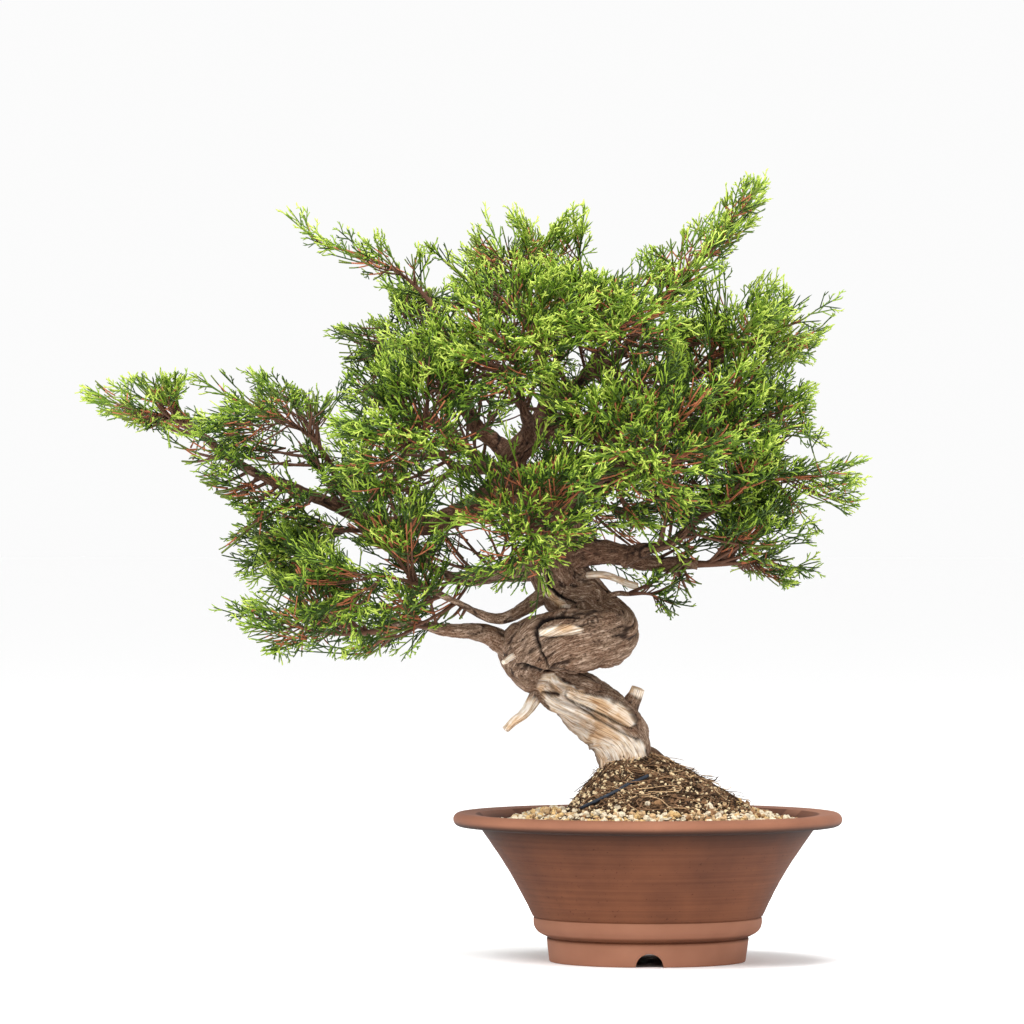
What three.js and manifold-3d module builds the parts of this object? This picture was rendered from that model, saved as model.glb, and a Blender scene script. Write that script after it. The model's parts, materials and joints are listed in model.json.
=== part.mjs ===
// Juniper bonsai in a round stoneware pot: a trunk folded over itself, tapering boughs and
// separate foliage masses of toothed sprays on twigs.
// Millimetres, +Z up, the front of the tree faces -Y. Everything is drawn about the pot's axis,
// and the finished group is shifted so that its origin lies under the middle of the whole plant.
import * as THREE from "three";
import { mergeVertices } from "three/addons/utils/BufferGeometryUtils.js";
import Module from "manifold-3d";

const wasm = await Module();
wasm.setup();

// Clearances
const GAP = 0.3; // between pieces that touch on the real plant
const LEAF_CLEARANCE = 1.0; // a spray or twig keeps this far from every limb
const SPACE_MARGIN = 0.8; // and this far inside its own mass's space

// Pot: radii and heights of the turned profile
const RIM_RADIUS = 100;
const RIM_HEIGHT = 76.5;
const LIP_THICKNESS = 7;
const LIP_INNER_RADIUS = 88;
const NECK_RADIUS = 86;
const WAIST_RADIUS = 59.2;
const WAIST_HEIGHT = 23.6;
const FLARE = 1.7; // how far the wall hollows between waist and neck
const BAND_RADIUS = 58.8;
const BAND_LOW = 15.5;
const BAND_ROUND = 1.7;
const FOOT_RADIUS = 50.5;
const FOOT_HEIGHT = 12;
const FOOT_WIDTH = 8;
const FOOT_SPLAY = 1.5;
const WALL = 6.5;
const FLOOR_LOW = 8;
const FLOOR_TOP = 15;
const FLOOR_ROUND = 3;
const DRAIN_RADIUS = 9;
const NOTCH_RADIUS = 7;
const POT_SIDES = 36;
const WALL_STEPS = 4;

// Soil: a domed bed of grit that fills the pot, and the old root ball heaped on it
const BED_EDGE_HEIGHT = 70.5;
const BED_TOP = 77.5;
const BED_FLAT_RADIUS = 54;
const HEAP = { x: -10, left: 31, right: 64, depth: 46, top: 110, fullness: 1.25, sides: 22, steps: 5 };
const WIRE = { radius: 0.9, points: 5, firstAngle: -142, turn: 17, firstShare: 0.98, rise: 0.11, steps: 10 };

// Trunk stations from the flat cut at ground level to the tip: x, y, z and radius
const TRUNK = [
  [-7, 0, BED_TOP + GAP, 18],
  [-11, 0, 99, 13],
  [-15.5, 1, 117, 15.2],
  [-33, 5, 133, 14.2],
  [-51, 11, 145, 12.4],
  [-64, 4, 155.5, 12.2],
  [-54, -12, 164, 15.2],
  [-32, -16, 166.5, 15.4],
  [-19, -6, 168, 13.9],
  [-30, 11, 181.5, 13.8],
  [-43.5, 11, 194, 15.8],
  [-49.5, 4, 209, 13.8],
  [-45, 0, 224, 12],
  [-52, 4, 238, 10.4],
  [-67, 7, 247, 8.8],
  [-69, 3, 259, 7.4],
  [-59, -2, 271, 6.2],
  [-51, 2, 287, 5],
  [-54, 4, 307, 3.4],
  [-61, 2, 328, 1.8],
];
const TRUNK_STEPS_PER_STATION = 2;
const TRUNK_SIDES = 12;
const LOBES = { count: 3, depth: 0.07, twist: 0.55 }; // the trunk's ribs turn by twist radians a station

// Limbs. Each leaves the trunk, or the bough it comes from, at a share of that one's length and runs
// to its tip in one bow: lift raises the middle of the bow, sway moves it back, and thick gives its
// radius at the root and at the tip.
const LIMB_SIDES = 6;
const LIMB_STEPS = 6;
const LIMB_TAPER = 0.7; // below 1 a limb thins faster near its root
const WANDER = { size: 0.035, back: 9, up: 7 }; // as a share of the length, with radians along it
const STUBS = [
  {
    name: "dead_stub_left", at: 0.215, tip: [-73, -1, 119],
    lift: -2, sway: -2, thick: [4.4, 2.3], look: "deadwood",
  },
  {
    name: "dead_stub_right", at: 0.105, tip: [-4.5, -4, 140],
    lift: 0, sway: 0, thick: [5.5, 3.6], look: "deadwood",
  },
  { name: "dead_peg", at: 0.3, tip: [-74, -20, 154], lift: 0, sway: 0, thick: [1.6, 1.3], look: "deadwood" },
  { name: "cut_stick", at: 0.56, tip: [-5, 3, 192.5], lift: 1, sway: 0, thick: [2.3, 1.8], look: "deadwood" },
  { name: "surface_root", at: 0.085, tip: [17, 3, 93], lift: 6, sway: 2, thick: [2.6, 1.8], look: "bark" },
];
const BOUGHS = [
  { bough: "low_left", at: 0.268, tip: [-133, -22, 171], lift: 9, sway: -6, thick: [6.6, 1.7] },
  { bough: "left_inner", at: 0.53, tip: [-108, -42, 190], lift: -13, sway: 8, thick: [4.8, 1.5] },
  { bough: "mid_left", at: 0.575, tip: [-122, 32, 210], lift: -13, sway: 6, thick: [7.5, 2.3] },
  { bough: "left_reach", at: 0.735, tip: [-226, 2, 268], lift: -30, sway: 5, thick: [7.4, 2] },
  {
    bough: "left_shoulder", from: "left_reach", at: 0.56, tip: [-164, -6, 257],
    lift: -3, sway: 4, thick: [3.4, 1.7],
  },
  { bough: "top_left", at: 0.8, tip: [-108, 12, 306], lift: -5, sway: 8, thick: [5.2, 1.9] },
  {
    bough: "left_leader", from: "top_left", at: 0.55, tip: [-104, -16, 322],
    lift: -2, sway: -6, thick: [3, 1.5],
  },
  { bough: "top_right", at: 0.885, tip: [0, -6, 330], lift: -6, sway: -5, thick: [4.6, 1.7] },
  { bough: "apex_right", at: 0.925, tip: [-38, -3, 336], lift: -4, sway: 2, thick: [3, 1.5] },
  { bough: "high_right", at: 0.855, tip: [22, 10, 300], lift: -6, sway: 8, thick: [5, 1.9] },
  { bough: "mid_right", at: 0.685, tip: [24, -16, 262], lift: -5, sway: -6, thick: [6, 2] },
  { bough: "low_right", at: 0.592, tip: [26, 4, 204], lift: 1, sway: 3, thick: [8.6, 2.8] },
  {
    bough: "right_reach", from: "low_right", at: 0.5, tip: [27, -14, 228],
    lift: -4, sway: -5, thick: [4, 1.8],
  },
  { bough: "front", at: 0.635, tip: [-58, -54, 224], lift: 5, sway: 0, thick: [5.6, 1.8] },
  { bough: "front_right", at: 0.665, tip: [-14, -52, 252], lift: 4, sway: -4, thick: [5.2, 1.8] },
  { bough: "front_top", at: 0.89, tip: [-26, -40, 312], lift: -5, sway: -5, thick: [3.8, 1.6] },
  { bough: "front_high", at: 0.84, tip: [-66, -44, 298], lift: -5, sway: -5, thick: [4.4, 1.7] },
  { bough: "front_left", at: 0.755, tip: [-104, -44, 258], lift: -4, sway: -6, thick: [5, 1.8] },
  { bough: "back", at: 0.645, tip: [-34, 58, 238], lift: 5, sway: 0, thick: [5.6, 1.9] },
  { bough: "back_left", at: 0.765, tip: [-102, 52, 270], lift: -4, sway: 6, thick: [5, 1.8] },
  { bough: "back_right", at: 0.865, tip: [-4, 50, 280], lift: -5, sway: 6, thick: [4.6, 1.8] },
  { bough: "back_high", at: 0.905, tip: [-58, 42, 322], lift: -4, sway: 5, thick: [3.6, 1.6] },
  { bough: "sprig", at: 0.47, tip: [-6, -6, 189], lift: 2, sway: 0, thick: [1.8, 1.1] },
];

// Foliage masses. Each grows from the end of the bough of its name, or of the trunk, towards its tip,
// in an egg-shaped space with that length and this half width and half height, on that many twigs.
const MASSES = [
  { mass: "low_left", tip: [-222, -32, 180], wide: 48, high: 26, twigs: 7 },
  { mass: "left_inner", tip: [-168, -78, 206], wide: 40, high: 32, twigs: 6 },
  { mass: "mid_left", tip: [-218, 54, 218], wide: 48, high: 34, twigs: 7 },
  { mass: "left_reach", tip: [-292, -2, 295], wide: 42, high: 28, twigs: 8 },
  { mass: "left_shoulder", tip: [-220, -12, 302], wide: 46, high: 38, twigs: 6 },
  { mass: "top_left", tip: [-162, 30, 326], wide: 44, high: 36, twigs: 6 },
  { mass: "left_leader", tip: [-189, -24, 385], wide: 32, high: 32, twigs: 7 },
  { mass: "apex", on: "trunk", tip: [-78, -4, 389], wide: 44, high: 44, twigs: 7 },
  { mass: "apex_right", tip: [-32, -8, 392], wide: 38, high: 38, twigs: 6 },
  { mass: "top_right", tip: [64, -12, 404], wide: 42, high: 40, twigs: 8 },
  { mass: "high_right", tip: [97, 4, 340], wide: 50, high: 40, twigs: 7 },
  { mass: "mid_right", tip: [92, -34, 294], wide: 46, high: 42, twigs: 7 },
  { mass: "right_reach", tip: [117, -20, 259], wide: 44, high: 34, twigs: 6 },
  { mass: "low_right", tip: [88, 14, 208], wide: 44, high: 28, twigs: 6 },
  { mass: "front", tip: [-64, -116, 234], wide: 48, high: 38, twigs: 6 },
  { mass: "front_right", tip: [4, -114, 274], wide: 50, high: 44, twigs: 7 },
  { mass: "front_top", tip: [-2, -88, 342], wide: 46, high: 42, twigs: 6 },
  { mass: "front_high", tip: [-76, -102, 324], wide: 48, high: 44, twigs: 7 },
  { mass: "front_left", tip: [-136, -100, 276], wide: 46, high: 44, twigs: 7 },
  { mass: "back", tip: [-26, 118, 246], wide: 52, high: 42, twigs: 6 },
  { mass: "back_left", tip: [-136, 106, 290], wide: 50, high: 44, twigs: 6 },
  { mass: "back_right", tip: [48, 100, 294], wide: 52, high: 46, twigs: 6 },
  { mass: "back_high", tip: [-66, 94, 348], wide: 50, high: 42, twigs: 6 },
  { mass: "sprig", tip: [22, -12, 182], wide: 15, high: 13, twigs: 3, spray: 0.5 },
];
const MASS_SEED = 41;
const LIMB_SEED = 141;
const GOLDEN_ANGLE = Math.PI * (3 - Math.sqrt(5));
const GOLDEN_SHARE = (Math.sqrt(5) - 1) / 2;
const UP = new THREE.Vector3(0, 0, 1);
const EGG_EXTRA = 9; // the space runs this far past the stem's root and the mass's tip
const EGG_TAPER = 0.5; // how much wider it is at the root end, and narrower at the tip
const STEM = { radius: 1.9, tipRadius: 1, sides: 4, steps: 4 };
const STEM_BEND = 0.35; // how far the stem keeps the limb's own heading, as a share of its length
const STEM_SHORT = 0.85; // the stem stops this many sprays short of the mass's tip
const TWIG = { sides: 3, thick: 0.62, taper: 0.5, least: 9, most: 60, step: 1.5 };
const TWIG_SPAN = { first: 0.06, range: 0.9 }; // the stretch of the stem that bears twigs
const TWIG_SPREAD = 0.95; // radians between a twig and its stem
const TWIG_TURN = 0.7; // radians by which twigs stray from the golden angle
const TWIG_KEEP = { least: 0.6, range: 0.3 }; // the share of the way to the skin that a twig runs
const UPSWEEP = 0.28; // how strongly twigs and sprays turn up
const SPRAYS_ON_TWIG = [0.3, 0.55, 0.78, 0.96];
const SPRAY = { length: 37, width: 8.5, thick: 2, tooth: 0.66, notch: 0.52, waist: 0.3, ridge: 0.3 };
const SPRAY_SIZES = [1.1, 0.95, 0.8, 0.65]; // a spray takes the first of these that has room
const SPRAY_SPREAD = 0.75; // radians between a side spray and its twig
const SPRAY_CLOSING = { root: 1.25, loss: 0.8 }; // side sprays stand closer towards the twig's end
const SPRAY_ROLL = 2.2; // radians by which sprays turn about their own rib
const SPRAY_ROOM = 12.5; // sprays of a mass keep their middles and tips this far apart

const COLOURS = {
  stoneware: { color: 0x7a4632, roughness: 0.85 },
  grit: { color: 0xc9b48c, roughness: 0.95 },
  root_soil: { color: 0x4a3526, roughness: 1 },
  wire: { color: 0x2c3440, roughness: 0.5 },
  bark: { color: 0x6b5140, roughness: 0.9 },
  deadwood: { color: 0xc9b391, roughness: 0.8 },
  foliage: { color: 0x4f8426, roughness: 0.7 },
};

// Repeatable random numbers from 0 to 1
function seeded(seed) {
  let state = seed >>> 0;
  return () => {
    state = (state + 0x6d2b79f5) >>> 0;
    let mixed = Math.imul(state ^ (state >>> 15), 1 | state);
    mixed = (mixed + Math.imul(mixed ^ (mixed >>> 7), 61 | mixed)) ^ mixed;
    return ((mixed ^ (mixed >>> 14)) >>> 0) / 4294967296;
  };
}

// A factor near 1
const varied = (random) => 0.8 + 0.4 * random();

const vector = (values) => new THREE.Vector3(values[0], values[1], values[2]);

// Solids: a geometry becomes a solid to be joined or cut, and goes back to a geometry
function solidFrom(geometry) {
  const bare = geometry.clone();
  bare.deleteAttribute("normal");
  bare.deleteAttribute("uv");
  const merged = mergeVertices(bare, 1e-4);
  return new wasm.Manifold(
    new wasm.Mesh({
      numProp: 3,
      vertProperties: merged.attributes.position.array,
      triVerts: new Uint32Array(merged.index.array),
    }),
  );
}

function geometryFrom(solid) {
  const mesh = solid.getMesh();
  const geometry = new THREE.BufferGeometry();
  geometry.setAttribute("position", new THREE.BufferAttribute(mesh.vertProperties, 3));
  geometry.setIndex(new THREE.BufferAttribute(mesh.triVerts, 1));
  geometry.computeVertexNormals();
  return geometry;
}

// The largest body of a solid: loose scraps and sealed hollows are left out
function largestBody(solid) {
  return solid.decompose().reduce((best, body) => (body.volume() > best.volume() ? body : best));
}

function meshOf(name, solid, look) {
  const mesh = new THREE.Mesh(geometryFrom(solid), new THREE.MeshStandardMaterial(COLOURS[look]));
  mesh.name = name;
  return mesh;
}

// Pot: the turned profile: outside from under the floor up to the lip's inner edge, and inside back down
function potProfile() {
  const point = (radius, height) => new THREE.Vector2(radius, height);
  const wallTop = RIM_HEIGHT - LIP_THICKNESS - 1;
  const wallPoint = (share, inward) => {
    const radius = THREE.MathUtils.lerp(WAIST_RADIUS, NECK_RADIUS, share) - FLARE * Math.sin(Math.PI * share);
    return point(radius - inward, THREE.MathUtils.lerp(WAIST_HEIGHT, wallTop, share));
  };
  const shares = Array.from({ length: WALL_STEPS + 1 }, (_, i) => i / WALL_STEPS);
  const roll = LIP_THICKNESS / 2;
  const lipRound = [-90, -45, 0, 45, 90].map((degrees) => {
    const angle = THREE.MathUtils.degToRad(degrees);
    return point(RIM_RADIUS - roll + roll * Math.cos(angle), RIM_HEIGHT - roll + roll * Math.sin(angle));
  });
  return {
    outside: [
      point(FOOT_RADIUS - FOOT_WIDTH, FLOOR_LOW),
      point(FOOT_RADIUS - FOOT_WIDTH, 0),
      point(FOOT_RADIUS, 0),
      point(FOOT_RADIUS + FOOT_SPLAY, FOOT_HEIGHT),
      point(BAND_RADIUS - BAND_ROUND, BAND_LOW),
      point(BAND_RADIUS, BAND_LOW + 2 * BAND_ROUND),
      point(BAND_RADIUS, WAIST_HEIGHT - 1),
      ...shares.map((share) => wallPoint(share, 0)),
      ...lipRound,
      point(LIP_INNER_RADIUS, RIM_HEIGHT - 0.8),
    ],
    inside: [
      ...shares.map((share) => wallPoint(1 - share, WALL)),
      point(WAIST_RADIUS - WALL - FLOOR_ROUND, FLOOR_TOP),
    ],
  };
}

function turned(points, sides) {
  return new THREE.LatheGeometry(points, sides).rotateX(Math.PI / 2);
}

function potSolid() {
  const { outside, inside } = potProfile();
  const drain = [new THREE.Vector2(DRAIN_RADIUS, FLOOR_TOP), new THREE.Vector2(DRAIN_RADIUS, FLOOR_LOW)];
  const loop = [...outside, ...inside, ...drain, outside[0].clone()];
  const notch = new THREE.CylinderGeometry(NOTCH_RADIUS, NOTCH_RADIUS, 3 * FOOT_RADIUS, 16);
  return solidFrom(turned(loop, POT_SIDES)).subtract(solidFrom(notch));
}

// Soil
function bedSolid() {
  const inward = GAP / Math.cos(Math.PI / POT_SIDES) + 0.15;
  const { inside } = potProfile();
  const wall = inside.map((p) => new THREE.Vector2(p.x - inward, p.y)).reverse();
  wall[0].y += GAP;
  const below = wall.filter((p) => p.y < BED_EDGE_HEIGHT);
  const wallEnd = below[below.length - 1];
  const edgeRadius = wallEnd.x + BED_EDGE_HEIGHT - wallEnd.y;
  const profile = [
    new THREE.Vector2(0, FLOOR_TOP + GAP),
    ...below,
    new THREE.Vector2(edgeRadius, BED_EDGE_HEIGHT),
    new THREE.Vector2(BED_FLAT_RADIUS, BED_TOP),
    new THREE.Vector2(0, BED_TOP),
  ];
  return solidFrom(turned(profile, POT_SIDES));
}

// A point on the heap of old roots: share runs from its crest (0) to its foot (1)
function heapPoint(angle, share, raised = 0) {
  const along = Math.cos(angle) > 0 ? HEAP.right : HEAP.left;
  const height = (HEAP.top - BED_TOP - GAP) * (1 - share ** HEAP.fullness);
  return new THREE.Vector3(
    HEAP.x + (along + raised) * share * Math.cos(angle),
    (HEAP.depth + raised) * share * Math.sin(angle),
    BED_TOP + GAP + height + raised,
  );
}

function heapSolid() {
  const profile = [new THREE.Vector2(0, 0)];
  for (let i = 0; i <= HEAP.steps; i++) profile.push(new THREE.Vector2(1 - i / HEAP.steps, 1));
  const geometry = turned(profile, HEAP.sides);
  const position = geometry.attributes.position;
  for (let i = 0; i < position.count; i++) {
    const share = Math.hypot(position.getX(i), position.getY(i));
    const angle = Math.atan2(position.getY(i), position.getX(i));
    const point = heapPoint(angle, share);
    if (position.getZ(i) < 0.5) point.z = BED_TOP + GAP;
    position.setXYZ(i, point.x, point.y, point.z);
  }
  return solidFrom(geometry);
}

// The dark tie wire that lies over the front left of the heap
function wireSolid() {
  const points = Array.from({ length: WIRE.points }, (_, i) => {
    const angle = THREE.MathUtils.degToRad(WIRE.firstAngle + WIRE.turn * i);
    return heapPoint(angle, WIRE.firstShare - WIRE.rise * i, WIRE.radius + GAP);
  });
  const section = new THREE.Shape().absarc(0, 0, WIRE.radius, 0, 2 * Math.PI);
  const extrudePath = new THREE.CatmullRomCurve3(points);
  return solidFrom(new THREE.ExtrudeGeometry(section, { steps: WIRE.steps, curveSegments: 4, extrudePath }));
}

// Limbs: points and radii along a centre line, with a normal carried along it without twist
function carriedFrames(points) {
  const frames = [];
  let normal = new THREE.Vector3(0.31, -0.95, 0.05);
  points.forEach((_, i) => {
    const next = points[Math.min(i + 1, points.length - 1)];
    const tangent = next.clone().sub(points[Math.max(i - 1, 0)]).normalize();
    normal = normal.clone().addScaledVector(tangent, -normal.dot(tangent)).normalize();
    frames.push({ tangent, normal, side: new THREE.Vector3().crossVectors(normal, tangent) });
  });
  return frames;
}

// A closed tube: the rings of a cylinder are carried along the points
function tubeSolid(points, radiusAt, sides) {
  const steps = points.length - 1;
  const geometry = new THREE.CylinderGeometry(1, 1, 1, sides, steps);
  const frames = carriedFrames(points);
  const position = geometry.attributes.position;
  for (let i = 0; i < position.count; i++) {
    const step = Math.round((position.getY(i) + 0.5) * steps);
    const across = position.getX(i);
    const over = position.getZ(i);
    const radius = radiusAt(step, Math.atan2(over, across));
    const point = points[step].clone();
    point.addScaledVector(frames[step].normal, across * radius);
    point.addScaledVector(frames[step].side, over * radius);
    position.setXYZ(i, point.x, point.y, point.z);
  }
  return solidFrom(geometry);
}

function trunkLimb() {
  const steps = (TRUNK.length - 1) * TRUNK_STEPS_PER_STATION;
  const curve = new THREE.CatmullRomCurve3(TRUNK.map(vector), false, "centripetal");
  const points = curve.getPoints(steps);
  const radii = points.map((_, i) => {
    const station = Math.min(Math.floor(i / TRUNK_STEPS_PER_STATION), TRUNK.length - 2);
    const share = i / TRUNK_STEPS_PER_STATION - station;
    return THREE.MathUtils.lerp(TRUNK[station][3], TRUNK[station + 1][3], share);
  });
  const ribbed = (grown) => (step, angle) => {
    const turn = (LOBES.twist * step) / TRUNK_STEPS_PER_STATION;
    return radii[step] * (1 + LOBES.depth * Math.cos(LOBES.count * angle + turn)) + grown;
  };
  const foot = TRUNK[0][2];
  const build = (grown) => tubeSolid(points, ribbed(grown), TRUNK_SIDES).trimByPlane(UP.toArray(), foot);
  return { points, radii, solid: build(0), grown: build(GAP) };
}

// A bough: one bow from its parent's centre line to its tip, tapering, with a seeded wander
function boughLimb(row, parent, random) {
  const start = parent.points[Math.round(row.at * (parent.points.length - 1))];
  const tip = vector(row.tip);
  const middle = start.clone().lerp(tip, 0.5).add(new THREE.Vector3(0, 2 * row.sway, 2 * row.lift));
  const bow = new THREE.QuadraticBezierCurve3(start, middle, tip);
  const wander = WANDER.size * start.distanceTo(tip);
  const phase = [random() * 2 * Math.PI, random() * 2 * Math.PI];
  const points = bow.getPoints(LIMB_STEPS).map((point, i) => {
    const share = i / LIMB_STEPS;
    const held = 4 * share * (1 - share);
    point.y += wander * held * Math.sin(WANDER.back * share + phase[0]);
    point.z += wander * held * Math.sin(WANDER.up * share + phase[1]);
    return point;
  });
  const [rootRadius, tipRadius] = row.thick;
  const shares = points.map((_, i) => (i / LIMB_STEPS) ** LIMB_TAPER);
  const radii = shares.map((share) => THREE.MathUtils.lerp(rootRadius, tipRadius, share));
  const tube = (grown) => tubeSolid(points, (step) => radii[step] + grown, LIMB_SIDES);
  return { points, radii, solid: tube(0), grown: tube(GAP) };
}

function growLimbs() {
  const limbs = new Map([["trunk", trunkLimb()]]);
  [...STUBS, ...BOUGHS].forEach((row, i) => {
    const limb = boughLimb(row, limbs.get(row.from ?? "trunk"), seeded(LIMB_SEED + i));
    for (const other of limbs.values()) limb.solid = limb.solid.subtract(other.grown);
    limb.solid = largestBody(limb.solid);
    limbs.set(row.bough ?? row.name, limb);
  });
  return limbs;
}

// Distance from a point to the line between two others
function distanceToLine(point, from, to) {
  return new THREE.Line3(from, to).closestPointToPoint(point, true, new THREE.Vector3()).distanceTo(point);
}

function clearOfLimbs(point, limbs) {
  for (const { points, radii } of limbs.values()) {
    for (let i = 0; i + 1 < points.length; i++) {
      const reach = Math.max(radii[i], radii[i + 1]) * (1 + LOBES.depth) + LEAF_CLEARANCE;
      if (distanceToLine(point, points[i], points[i + 1]) < reach) return false;
    }
  }
  return true;
}

// Foliage: a mass's stem leaves the limb's end in line with it and bends towards the mass's tip,
// and stops short of it by most of a spray
function stemOf(row, limb) {
  const last = limb.points.length - 1;
  const along = limb.points[last].clone().sub(limb.points[last - 1]).normalize();
  const root = limb.points[last].clone().addScaledVector(along, GAP);
  const tip = vector(row.tip);
  const length = root.distanceTo(tip);
  const bend = root.clone().addScaledVector(along, STEM_BEND * length);
  const end = root.clone().lerp(tip, 1 - (STEM_SHORT * SPRAY.length * row.spray) / length);
  const points = new THREE.QuadraticBezierCurve3(root, bend, end).getPoints(STEM.steps);
  const radius = Math.min(limb.radii[last], STEM.radius);
  const radiusAt = (share) => THREE.MathUtils.lerp(radius, STEM.tipRadius * row.spray, share);
  return { root, tip, points, length, radiusAt };
}

// The egg-shaped space round a stem, as a test of how far out a point lies: 1 is the skin
function spaceOf(row, stem) {
  const centre = stem.root.clone().lerp(stem.tip, 0.5);
  const along = stem.tip.clone().sub(stem.root).normalize();
  const side = UP.clone().cross(along);
  if (side.length() < 0.3) side.set(1, 0, 0).addScaledVector(along, -along.x);
  side.normalize();
  const over = new THREE.Vector3().crossVectors(along, side);
  const outness = (point) => {
    const from = point.clone().sub(centre);
    const lengthwise = from.dot(along) / (0.5 * stem.length + EGG_EXTRA);
    const girth = Math.max(1 - EGG_TAPER * lengthwise, 0.1);
    return Math.hypot(lengthwise, from.dot(side) / (row.wide * girth), from.dot(over) / (row.high * girth));
  };
  return { along, side, over, outness };
}

// True where a point lies in its mass's own space, nearer to its stem than to any other,
// and clear of every limb
function hasRoom(point, mass) {
  if (mass.space.outness(point) > 1) return false;
  const own = distanceToLine(point, mass.stem.root, mass.stem.tip);
  const nearest = (other) => distanceToLine(point, other.stem.root, other.stem.tip);
  if (masses.some((other) => other !== mass && nearest(other) < own + 2 * SPACE_MARGIN)) return false;
  return clearOfLimbs(point, limbs);
}

// The point at a share of the way along a line of points
function pointOn(points, share) {
  const place = share * (points.length - 1);
  const step = Math.min(Math.floor(place), points.length - 2);
  return points[step].clone().lerp(points[step + 1], place - step);
}

// Twigs leave the stem round about by the golden angle, spaced by the golden share along it,
// and each runs most of the way to the skin of its space
function growTwigs(mass, random) {
  const { row, stem, space } = mass;
  const twigs = [];
  for (let i = 0; i < row.twigs; i++) {
    const share = TWIG_SPAN.first + TWIG_SPAN.range * ((0.5 + i * GOLDEN_SHARE) % 1);
    const turn = i * GOLDEN_ANGLE + TWIG_TURN * (random() - 0.5);
    const spread = TWIG_SPREAD * varied(random);
    const keep = TWIG_KEEP.least + TWIG_KEEP.range * random();
    const from = pointOn(stem.points, share);
    const heading = space.along.clone().multiplyScalar(Math.cos(spread));
    heading.addScaledVector(space.side, Math.sin(spread) * Math.cos(turn));
    heading.addScaledVector(space.over, Math.sin(spread) * Math.sin(turn));
    heading.z += UPSWEEP;
    heading.normalize();
    const at = (length) => from.clone().addScaledVector(heading, length);
    let reach = TWIG.least;
    while (reach < TWIG.most / keep && hasRoom(at(reach), mass)) reach += TWIG.step;
    const length = keep * reach;
    const thick = TWIG.thick * stem.radiusAt(share);
    if (length >= TWIG.least) twigs.push({ from, heading, length, thick, to: at(length), side: i % 2 });
  }
  return twigs;
}

// Sprays stand to alternate sides of a twig, the last nearly in line with it
function growSprays(mass, twig, random) {
  const across = new THREE.Vector3().crossVectors(twig.heading, UP).normalize();
  return SPRAYS_ON_TWIG.map((share, i) => {
    const side = (i + twig.side) % 2 ? 1 : -1;
    const lean = side * SPRAY_SPREAD * (SPRAY_CLOSING.root - SPRAY_CLOSING.loss * share) * varied(random);
    const heading = twig.heading.clone().multiplyScalar(Math.cos(lean));
    heading.addScaledVector(across, Math.sin(lean));
    heading.z += 0.5 * UPSWEEP;
    heading.normalize();
    const face = new THREE.Vector3().crossVectors(across, heading).normalize();
    face.applyAxisAngle(heading, SPRAY_ROLL * (random() - 0.5));
    return { from: twig.from.clone().lerp(twig.to, share), heading, face, size: mass.row.spray };
  });
}

// A spray's three-toothed outline from its root round its tip, as [along, across] pairs
function sprayOutline(size) {
  const length = SPRAY.length * size;
  const width = SPRAY.width * size;
  const right = [
    [SPRAY.tooth * length, width],
    [SPRAY.notch * length, SPRAY.waist * width],
  ];
  const left = right.map(([along, across]) => [along, -across]).reverse();
  return [[0, 0], ...right, [length, 0], ...left];
}

// The corners of a spray's blade: its rim, and the ridge on either face
function sprayPoints({ from, heading, face, size }) {
  const across = new THREE.Vector3().crossVectors(heading, face);
  const place = ([along, sideways], over) => {
    const point = from.clone().addScaledVector(heading, along);
    return point.addScaledVector(across, sideways).addScaledVector(face, over);
  };
  const ridge = [SPRAY.ridge * SPRAY.length * size, 0];
  const outline = sprayOutline(size);
  return {
    rim: outline.map((pair) => place(pair, 0)),
    top: place(ridge, (SPRAY.thick * size) / 2),
    bottom: place(ridge, (-SPRAY.thick * size) / 2),
    middle: place([0.5 * SPRAY.length * size, 0], 0),
    tip: place([SPRAY.length * size, 0], 0),
  };
}

// A spray's blade: a ball of two rows whose rim is pulled out to the toothed outline
function spraySolid({ rim, top, bottom }) {
  const geometry = new THREE.SphereGeometry(1, rim.length, 2);
  const position = geometry.attributes.position;
  for (let i = 0; i < position.count; i++) {
    const turn = Math.atan2(position.getZ(i), -position.getX(i)) / (2 * Math.PI);
    const step = (Math.round(turn * rim.length) + rim.length) % rim.length;
    const height = position.getY(i);
    const point = height > 0.5 ? top : height < -0.5 ? bottom : rim[step];
    position.setXYZ(i, point.x, point.y, point.z);
  }
  return solidFrom(geometry);
}

// The largest of a spray's sizes that has room and crowds no earlier spray, or nothing
function fittedSpray(spray, mass, earlier) {
  for (const share of SPRAY_SIZES) {
    const points = sprayPoints({ ...spray, size: spray.size * share });
    const { rim, middle, tip } = points;
    const edges = rim.map((point, i) => point.clone().lerp(rim[(i + 1) % rim.length], 0.5));
    const roomy = [...rim.slice(1), ...edges, middle].every((point) => hasRoom(point, mass));
    const room = SPRAY_ROOM * spray.size;
    const crowded = earlier.some((other) => {
      const pairs = [[tip, other.tip], [tip, other.middle], [middle, other.tip], [middle, other.middle]];
      return pairs.some(([a, b]) => a.distanceTo(b) < room);
    });
    if (roomy && !crowded) return points;
  }
  return null;
}

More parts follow.
